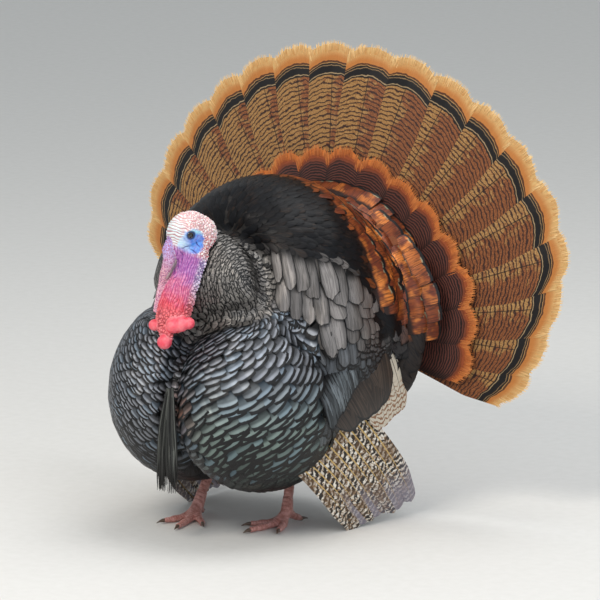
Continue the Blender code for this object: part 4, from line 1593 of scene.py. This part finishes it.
@dataclass
class Beard:
    """The tuft of stiff bristles that hangs from the middle of the breast."""

    bristles: int = 420

    def build(self) -> None:
        """Makes the bristles as one joined mesh."""
        low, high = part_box("beard")
        top = np.array(((low[0] + high[0]) / 2, high[1] - 0.006, high[2]))
        coat = Coat(41, top + (0, 0.05, -0.05))
        chance, count = coat.chance, self.bristles
        turn = chance.uniform(0, 2 * math.pi, count)
        out = np.sqrt(chance.random(count))
        across, deep, level = out * np.cos(turn), out * np.sin(turn), np.zeros(count)
        roots = top + np.stack([across * 0.006, deep * 0.0035, chance.uniform(-0.004, 0, count)], axis=1)
        foot = np.array((top[0], low[1] + 0.012, low[2] + 0.004))
        share = chance.uniform(0.72, 1.0, count)
        tips = top + (foot - top) * share[:, None]
        tips = tips + np.stack([across * 0.015 + 0.004 * np.sign(across), deep * 0.006, level], axis=1)
        along = unit(tips - roots)
        normal = square_to(unit(np.stack([across + 0.01, deep - 1.2, level], axis=1)), along)
        length = norm(tips - roots, axis=1)
        batch = Batch(roots, along, normal, length, 0.0013, linear3("#3a3c3a"), camber=0.0006,
                      bow=chance.normal(0.004, 0.0015, count))
        cut = Cut(across=2, along=10, waist=0.8, growth=1.0, roundness=0.0, narrowing=0.8, ragged=0.0)
        coat.hang("beard_bristles", "beard_bristle", batch, cut, BristleFinish().build(), ["beard"])


# ---- finishes


@dataclass(frozen=True)
class SkinFinish:
    """Skin under the plumage: bare, matt and dark, with the plumage's own colour in it."""

    # Patches of skin and down are 7 mm across.
    shadow: float = 0.35

    def build(self) -> Material:
        """Makes the material."""
        shade = Shade("feather_bed_skin")
        spread = shade.noise(140.0, 3.0)
        dark = spread.step(0.35, 0.65).mix("#0a0908", "#241d19")
        both = {0: self.shadow, 6: dark, 7: shade.attribute("tone", "Color")}
        colour = shade.value("ShaderNodeMix", both, 2, data_type="RGBA")
        return shade.close(Base_Color=colour, Roughness=0.85, Normal=shade.bump(spread, 0.001))


@dataclass(frozen=True)
class ContourFinish:
    """Contour feather: fine barbs, a silky sheen partly painted, painted shade, a velvet-black tip band."""

    # Real barbs, a few tenths of a millimetre apart, are too fine to show. In every feather finish they are
    # drawn coarser: here 1.4 mm apart, with dark partings 2 mm apart.
    barb: float = 1 / 700
    # How strongly the sides are darkened: a painted sheen that leaves the middle lit.
    satin: float = 0.55
    lines: float = 0.0
    line: float = 0.97
    shadow: float = 0.55
    # Blue tint on some feathers, and painted shade on the open part away from the tip.
    depth: float = 0.65

    def build(self) -> Material:
        """Makes the material."""
        shade = FeatherShade("contour_feather_keratin")
        edge = shade.attribute("edge", "Fac")
        out = abs(shade.u) ** 3.0
        wave = shade.noise(9.0, 2.0, shade.attribute("vane"), (1.0, 0.3, 3.0)) * 0.0016 - 0.0008
        dark = (edge + wave + out * 0.0016 - shade.tip).step(-0.0004, 0.0006)
        barb = shade.ripple(shade.root + shade.off_shaft * 0.9, self.barb) * 0.5 + 0.5
        line = shade.noise(520.0, 2.0, shade.place(shade.root), (1.0, 0.07, 1.0)).step(0.44, 0.56)
        colour = barb.mix(shade.attribute("tone", "Color"), "#1c1b1b", 0.3)
        colour = line.mix(colour, "#141110", self.lines)
        # Painted sheen: darker towards the sides, so the middle of the vane reads as lit.
        colour = out.mix(colour, "#0e0e10", self.satin)
        colour = abs(shade.u).step(self.line, self.line + 0.03).mix(colour, "#08080a")
        # Painted shade near the root, where the feather above covers it.
        colour = shade.v.step(self.shadow - 0.15, self.shadow + 0.15).mix("#0b0a0a", colour)
        colour = shade.seed.step(0.5, 1.0).mix(colour, "#7f9db4", self.depth / 2)
        # Painted shade: darker away from the tip band, towards where the row above lies.
        colour = (shade.tip / edge).step(1.5, 2.5).mix(colour, "#0a0b0c", self.depth)
        return shade.close(Base_Color=dark.mix(colour, "#060608"), Metallic=(1.0 - dark) * 0.55,
                           Roughness=0.36, Specular_IOR_Level=0.4, Normal=shade.bump(barb, 0.0003, 0.5))


@dataclass(frozen=True)
class BlackFinish:
    """Back and under feathers: glossy melanin black, with painted bronze and blue sheen along the barbs."""

    # Barbs are drawn 1.2 mm wide, coarser than real, to show.

    def build(self) -> Material:
        """Makes the material."""
        shade = FeatherShade("black_feather_keratin")
        streak = shade.noise(800.0, 2.0, shade.place(shade.root), (1.0, 0.08, 1.0))
        warm = shade.seed.step(0.55, 0.95).mix("#0a0c12", "#2a1d15")
        # Painted sheen: streaks along the barbs tinted bronze or blue, from feather to feather.
        colour = streak.step(0.45, 0.7).mix(shade.attribute("tone", "Color"), warm)
        colour = shade.tip.step(0.004, 0.0).mix(colour, "#050506")
        return shade.close(Base_Color=colour, Roughness=0.42, Specular_IOR_Level=0.18,
                           Normal=shade.bump(streak, 0.0005, 0.7))


@dataclass(frozen=True)
class BarbFinish:
    """Loose barb: dry keratin, paler where the light comes through its end."""

    end: str
    root: str

    def build(self) -> Material:
        """Makes the material."""
        shade = FeatherShade("loose_barb_keratin")
        colour = (shade.seed * 0.5 + shade.v * 0.6).mix(self.root, self.end)
        return shade.close(Base_Color=colour, Roughness=0.7)


@dataclass(frozen=True)
class RectrixFinish:
    """Tail feather: buff bars on brown, a black band and a buff tip, all laid down as the vane grew."""

    # Bars are 6.8 mm apart and flecks 1.4 mm. Barbs are drawn 1.1 mm apart, coarser than real, to show.
    tip: float = 0.025
    band: tuple[float, float] = (0.031, 0.047)
    period: float = 0.0068
    barb: float = 2 * math.pi / 5500

    def build(self) -> Material:
        """Makes the material."""
        shade = FeatherShade("tail_feather_keratin")
        place = shade.place(shade.tip)
        wobble = shade.noise(85.0, 4.0, place) - 0.5
        wave = shade.ripple(wobble * 0.012 + shade.tip, self.period)
        bar = (wave + (shade.noise(260.0, 2.0, place) * 1.4 - 0.7)).step(-0.9, -0.1)
        speck = shade.noise(700.0, 2.0, place)
        buff = speck.step(0.35, 0.65).mix("#8f6436", "#b98f58")
        rust = speck.step(0.38, 0.62).mix("#6f3d22", "#9a5f36")
        vane = bar.mix("#38201a", (wobble * 2.0 + shade.u).step(-0.1, 0.3).mix(buff, rust))
        vane = shade.off_shaft.step(0.0011, 0.0005).mix(vane, "#1c100b", 0.8)
        edge = wobble * 0.007 + shade.tip
        fringe = edge.step(0.004, 0.022).mix("#ecc684", "#c98140")
        colour = shade.noise(500.0, 1.0, place, (1.0, 0.06, 1.0)).mix(fringe, "#a8672e", 0.5)
        low, high = self.band
        for start, tint in ((self.tip, "#54301c"), (self.tip + 0.003, "#b98f58"), (low - 0.002, "#1a1513"),
                            (low + 0.001, "#8f7452"), (low + 0.0022, "#0d0c0f"), (high - 0.004, "#a8906c"),
                            (high - 0.0025, "#120e0e"), (high, vane)):
            colour = edge.step(start, start + 0.0007).mix(colour, tint)
        barb = shade.ripple(shade.root + shade.off_shaft, self.barb) * 0.5 + 0.5
        return shade.close(Base_Color=barb.mix(colour, "#1a120c", 0.22), Roughness=0.55,
                           Specular_IOR_Level=0.35, Normal=shade.bump(barb, 0.0003, 0.4))


@dataclass(frozen=True)
class CovertFinish:
    """Greater tail covert: maroon barred finely with black, its loose tip bright copper."""

    # Bars are 4.2 mm apart.
    tip: float = 0.011
    period: float = 0.0042

    def build(self) -> Material:
        """Makes the material."""
        shade = FeatherShade("tail_covert_keratin")
        wobble = shade.noise(90.0, 3.0, shade.place(shade.tip)) - 0.5
        wave = shade.ripple(shade.tip + wobble * 0.006, self.period)
        vane = wave.step(-0.3, 0.5).mix("#1c100e", "#5d3128")
        # Painted shade: the sides darkened where neighbouring coverts meet.
        vane = abs(shade.u).step(0.55, 0.95).mix(vane, "#120a09", 0.7)
        edge = shade.tip + wobble * 0.01
        colour = edge.step(self.tip, self.tip + 0.012).mix("#8e4420", vane)
        colour = edge.step(self.tip - 0.006, self.tip + 0.001).mix("#cc7434", colour)
        return shade.close(Base_Color=colour, Roughness=0.5, Specular_IOR_Level=0.4,
                           Normal=shade.bump(wave, 0.0003, 0.3))


@dataclass(frozen=True)
class RumpFinish:
    """Rump feather: a copper bar that glows between black edges, with painted glints of green."""

    # Barbs are drawn 1.7 mm wide, coarser than real, to show. Painted green glints are in 17 mm patches.
    black: float = 0.0042
    copper: float = 0.028

    def build(self) -> Material:
        """Makes the material."""
        shade = FeatherShade("rump_feather_keratin")
        place = shade.place(shade.tip)
        edge = shade.tip + (shade.noise(160.0, 3.0, place) - 0.5) * 0.004
        warm = shade.seed.step(0.15, 0.85).mix("#87431d", "#cf7a34")
        tint = shade.noise(45.0, 2.0).step(0.4, 0.62).mix("#6b2f17", warm)
        streak = shade.noise(600.0, 1.0, place, (1.0, 0.1, 1.0))
        copper = streak.step(0.4, 0.7).mix(tint, "#3a1a0e", 0.7)
        rim = edge.step(self.black + 0.001, self.black - 0.001)
        rim = rim.sum("MAXIMUM", (abs(shade.u) ** 4.0).step(0.7, 0.98))
        # Painted glints of pale green just inside the black tip band.
        painted_glint = edge.step(self.black + 0.003, self.black) * shade.noise(60.0, 2.0).step(0.55, 0.62)
        colour = edge.step(self.copper - 0.006, self.copper).mix(copper, "#24110a")
        colour = rim.mix(painted_glint.mix(colour, "#8fa58c", 0.7), "#0b0a0c")
        return shade.close(Base_Color=colour, Metallic=0.3, Roughness=0.42, Specular_IOR_Level=0.4,
                           Normal=shade.bump(streak, 0.0004, 0.7))


@dataclass(frozen=True)
class SecondaryFinish:
    """Inner wing feather: a smooth brown vane with slanting barbs and a black rim."""

    # Barbs are drawn 2.4 mm apart, coarser than real, to show.

    def build(self) -> Material:
        """Makes the material."""
        shade = FeatherShade("secondary_feather_keratin")
        slant = shade.root * 0.22 + shade.off_shaft
        barb = shade.noise(420.0, 2.0, shade.value("ShaderNodeCombineXYZ", {0: slant, 1: shade.seed}))
        rim = (abs(shade.u) ** 3.0).sum("MAXIMUM", shade.tip.step(0.009, 0.002)).step(0.72, 0.98)
        brown = shade.noise(35.0, 3.0).mix("#1d1613", "#55473c")
        colour = rim.mix(barb.step(0.4, 0.6).mix(brown, "#140f0d", 0.85), "#0b0a0a")
        return shade.close(Base_Color=colour, Roughness=0.42, Specular_IOR_Level=0.5,
                           Normal=shade.bump(barb, 0.0004, 0.5))


@dataclass(frozen=True)
class PaleFinish:
    """Outer secondary: its free edge whitish, with broken brown bars that close up towards the tip."""

    # Bars are 8.5 mm apart. Barbs are drawn 1.1 mm apart, coarser than real, to show.
    period: float = 0.0085

    def build(self) -> Material:
        """Makes the material."""
        shade = FeatherShade("pale_secondary_keratin")
        place = shade.place(shade.tip)
        wobble = (shade.noise(130.0, 4.0, place) - 0.5) * 0.016
        wave = shade.ripple(shade.tip + wobble + shade.off_shaft * 0.5, self.period)
        bar = wave.step(0.1, 0.7) * shade.tip.step(0.055, 0.03)
        fine = shade.noise(900.0, 1.0, place, (0.2, 1.0, 1.0))
        colour = fine.mix(bar.mix("#d5cbb8", "#8a5a30"), "#8f877c", 0.35)
        return shade.close(Base_Color=colour, Roughness=0.6, Normal=shade.bump(fine, 0.0003, 0.4))


@dataclass(frozen=True)
class PrimaryFinish:
    """Flight feather: broken bars of brown, black and white, worn to a greyish lilac at the tip."""

    # Bars are 10.5 mm apart. Barbs are drawn 1.1 mm apart, coarser than real, to show.
    period: float = 0.0105

    def build(self) -> Material:
        """Makes the material."""
        shade = FeatherShade("primary_feather_keratin")
        place = shade.place(shade.tip)
        wobble = (shade.noise(150.0, 3.0, place) - 0.5) * 0.019
        wave = shade.ripple(shade.tip + wobble + shade.off_shaft * 0.8, self.period)
        wave = wave + shade.noise(420.0, 1.0, place) * 0.5
        pale = shade.noise(240.0, 2.0, place).step(0.35, 0.6).mix("#8a6a45", "#e6e0d4")
        colour = wave.step(0.05, 0.55).mix("#1f1812", pale)
        colour = shade.noise(40.0, 2.0, place).step(0.45, 0.62).mix(colour, "#6d4f2e", 0.6)
        worn = shade.tip.step(0.095, 0.02) * shade.seed.step(0.3, 0.5)
        fine = shade.noise(900.0, 1.0, place, (0.2, 1.0, 1.0))
        return shade.close(Base_Color=worn.mix(colour, "#8d8794", 0.75), Roughness=0.6,
                           Normal=shade.bump(fine, 0.0003, 0.4))


@dataclass(frozen=True)
class ShaftFinish:
    """Feather shaft: horn, straw-coloured and a little glossy."""

    # The colour of horn changes every 8 mm.
    light: str = "#c9a866"
    dark: str = "#7d6138"

    def build(self) -> Material:
        """Makes the material."""
        shade = FeatherShade("feather_shaft_horn")
        colour = (shade.noise(120.0, 2.0) * shade.v.step(0.2, 1.0)).mix(self.light, self.dark)
        return shade.close(Base_Color=colour, Roughness=0.35, Specular_IOR_Level=0.5)


@dataclass(frozen=True)
class FaceFinish:
    """Bare skin flushed with blood, or drained of it: white, blue, lavender, pink and red by place."""

    # Blotches of blood are 4 mm and 11 mm across, spots on the snood 2 mm.

    def build(self) -> Material:
        """Makes the material."""
        shade = Shade("bare_face_skin")
        blue, throat, snood = shade.parts("zone")
        ball, pale, fringe = shade.parts("more")
        along, down, groove = shade.parts("run")
        mottle, soft = shade.noise(260.0, 3.0), shade.noise(90.0, 2.0)
        crown = groove.mix(mottle.step(0.42, 0.62).mix("#f4eeee", "#e3a3a8"), "#a02c3c")
        crown = pale.mix(crown, "#f7f3f0", 0.25)
        face = soft.step(0.35, 0.65).mix("#1268dc", "#2f92f2")
        face = mottle.step(0.5, 0.7).mix(face, "#1746a8", 0.4)
        # Painted shade in the folds and wrinkles of the blue face.
        face = groove.mix(face, "#0c2560", 0.8)
        colour = (blue * pale).mix(blue.mix(crown, face), "#a9e4ee")
        colour = (shade.attribute("lore", "Fac") * (1.0 - groove)).mix(colour, "#d6eef2", 0.75)
        patches = mottle.step(0.4, 0.6)
        run = along + (soft - 0.5) * 0.25
        neck = run.step(0.22, 0.48).mix(patches.mix("#c486c2", "#a85ca6"), patches.mix("#e58aa8", "#cc5f8c"))
        neck = run.step(0.48, 0.72).mix(neck, patches.mix("#ee6a78", "#d63c50"))
        neck = fringe.mix(neck, run.step(0.35, 0.75).mix("#e6dbee", "#f4858a"), 0.9)
        # Painted shade in the throat's crevices.
        neck = groove.mix(neck, run.step(0.25, 0.65).mix("#5f2f86", "#a01f33"), 0.8)
        horn = down.step(0.05, 0.45).mix("#b3a6dc", "#e6b3c2")
        horn = shade.noise(520.0, 3.0).step(0.47, 0.6).mix(horn, "#a85f8a")
        coral = soft.step(0.3, 0.7).mix("#e64a5e", "#f27a84")
        lid = shade.attribute("lid", "Fac")
        for share, tint in ((throat, neck), (snood, horn), (ball, coral), (lid, "#14305e")):
            colour = share.mix(colour, tint)
        return shade.close(Base_Color=colour, Roughness=0.42, Specular_IOR_Level=0.45,
                           Subsurface_Weight=0.12, Subsurface_Scale=0.004,
                           Normal=shade.bump(mottle, 0.0004, 0.6))


@dataclass(frozen=True)
class EyeFinish:
    """Eyeball: a wet cornea over a dark brown iris and a black pupil."""

    # Flecks of the iris are 0.7 mm across.

    def build(self) -> Material:
        """Makes the material."""
        shade = Shade("wet_eye")
        angle = shade.attribute("turned", "Fac")
        iris = shade.noise(1500.0, 2.0).mix("#120a06", "#2a170c")
        colour = angle.step(0.62, 0.72).mix(angle.step(0.26, 0.32).mix("#020202", iris), "#0a0c14")
        return shade.close(Base_Color=colour, Roughness=0.08, Coat_Weight=1.0, Coat_Roughness=0.03)


@dataclass(frozen=True)
class BillFinish:
    """Bill: horn, bone-coloured and darker towards its root, with faint growth lines."""

    # Growth lines are 2.4 mm apart.

    def build(self) -> Material:
        """Makes the material."""
        shade = Shade("bill_horn")
        grain = shade.noise(420.0, 3.0, None, (1.0, 1.0, 0.2))
        colour = grain.step(0.3, 0.7).mix("#c9bbb4", "#8d7f86")
        return shade.close(Base_Color=colour, Roughness=0.35, Normal=shade.bump(grain, 0.0003, 0.5))


@dataclass(frozen=True)
class ScaleFinish:
    """Leg scales: horny plates, pinkish red, with brown in the joints."""

    # Mottling is 5.6 mm across.

    def build(self) -> Material:
        """Makes the material."""
        shade = Shade("leg_scale_horn")
        mottle = shade.noise(180.0, 4.0)
        plate = mottle.step(0.35, 0.65).mix("#cf9a92", "#b0766c")
        colour = shade.attribute("groove", "Fac").mix(plate, "#7a4440", 0.6)
        return shade.close(Base_Color=colour, Roughness=0.5, Normal=shade.bump(mottle, 0.0004, 0.5))


@dataclass(frozen=True)
class ClawFinish:
    """Claw and spur: dark horn, worn smooth."""

    # The grain is 2 mm wide.

    def build(self) -> Material:
        """Makes the material."""
        shade = Shade("claw_horn")
        return shade.close(Base_Color=shade.noise(500.0, 2.0).mix("#3a2d26", "#6b5749"), Roughness=0.35)


@dataclass(frozen=True)
class BristleFinish:
    """Beard bristle: coarse keratin, black with a worn greyish-green side."""

    def build(self) -> Material:
        """Makes the material."""
        shade = FeatherShade("beard_bristle_keratin")
        grey = shade.seed.step(0.3, 1.0).mix("#141514", "#6a6d68")
        return shade.close(Base_Color=shade.v.step(0.55, 1.0).mix(grey, "#1c1a18"), Roughness=0.45,
                           Specular_IOR_Level=0.5)


@dataclass(frozen=True)
class FloorFinish:
    """Studio floor: painted board, pale and matt."""

    # Its faint patches are 17 mm across.

    def build(self) -> Material:
        """Makes the material."""
        shade = Shade("painted_studio_floor")
        return shade.close(Base_Color=shade.noise(60.0, 4.0).mix("#d9d8d4", "#e3e2df"), Roughness=0.8)


# ---- studio


@dataclass
class Studio:
    """Floor, soft lights and the camera."""

    target: Place = (0.0662, 0.0154, 0.34)
    azimuth: float = 38.0
    elevation: float = 11.0
    distance: float = 8.0
    lens: float = 326.0
    air: str = "#e9eef2"
    glow: float = 0.6
    # Name, place, size, power and tint.
    lamps: tuple[tuple[str, Place, float, float, str], ...] = (
        ("key", (0.4, -2.8, 2.9), 1.2, 74.0, "#fff8ee"),
        ("fill", (2.8, -1.2, 1.4), 2.2, 26.0, "#eef4ff"),
        ("top", (0.4, 0.5, 3.2), 1.8, 40.0, "#ffffff"),
    )

    def build(self) -> None:
        """Sets the studio up."""
        bm = bmesh.new()
        bmesh.ops.create_grid(bm, x_segments=8, y_segments=8, size=6.0)
        dressed("floor", mesh_of(bm, "floor"), FloorFinish().build())
        scene, world = bpy.context.scene, bpy.data.worlds.new("studio_air")
        scene.world, scene.view_settings.view_transform = world, "Standard"
        world.use_nodes = True
        air = world.node_tree.nodes["Background"].inputs
        air["Color"].default_value, air["Strength"].default_value = linear(self.air), self.glow
        for lamp in self.lamps:
            self.lamp(*lamp)
        self.camera()

    def lamp(self, name: str, place: Place, size: float, power: float, tint: str) -> None:
        """One soft square lamp that looks at the bird.

        Args:
            name: Of the lamp.
            place: Where it stands.
            size: Of its side.
            power: In watts.
            tint: The colour of its light.
        """
        light = bpy.data.lights.new(name, "AREA")
        light.size, light.energy, light.color = size, power, linear(tint)[:3]
        obj = linked(name, light)
        obj.location = place
        obj.rotation_euler = (Vector((0, 0, 0.3)) - Vector(place)).to_track_quat("-Z", "Y").to_euler()

    def camera(self) -> None:
        """The camera, long and level enough to keep the bird's proportions."""
        turn, climb = math.radians(self.azimuth), math.radians(self.elevation)
        back = Vector((math.sin(turn) * math.cos(climb), -math.cos(turn) * math.cos(climb), math.sin(climb)))
        data = bpy.data.cameras.new("camera")
        data.lens, data.clip_end = self.lens, 100.0
        obj = linked("camera", data)
        obj.location = Vector(self.target) + back * self.distance
        obj.rotation_euler = (-back).to_track_quat("-Z", "Y").to_euler()
        bpy.context.scene.camera = obj


# ---- order of work


def main() -> None:
    """Builds the studio and the bird, piece by piece."""
    logging.basicConfig(level=logging.INFO, format="%(relativeCreated)6d %(name)s %(message)s")
    Studio().build()
    body = Body()
    body.build()
    TailFan().build()
    for side in Side:
        Wing(side).build()
    Leg(Side.LEFT, (0.056, 0.042, 0.0), 0.045).build()
    Leg(Side.RIGHT, (-0.075, -0.008, 0.0), 0.08).build()
    Beard().build()
    Head().build()
    Plumage(body).build()
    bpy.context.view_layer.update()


if __name__ == "__main__":
    main()
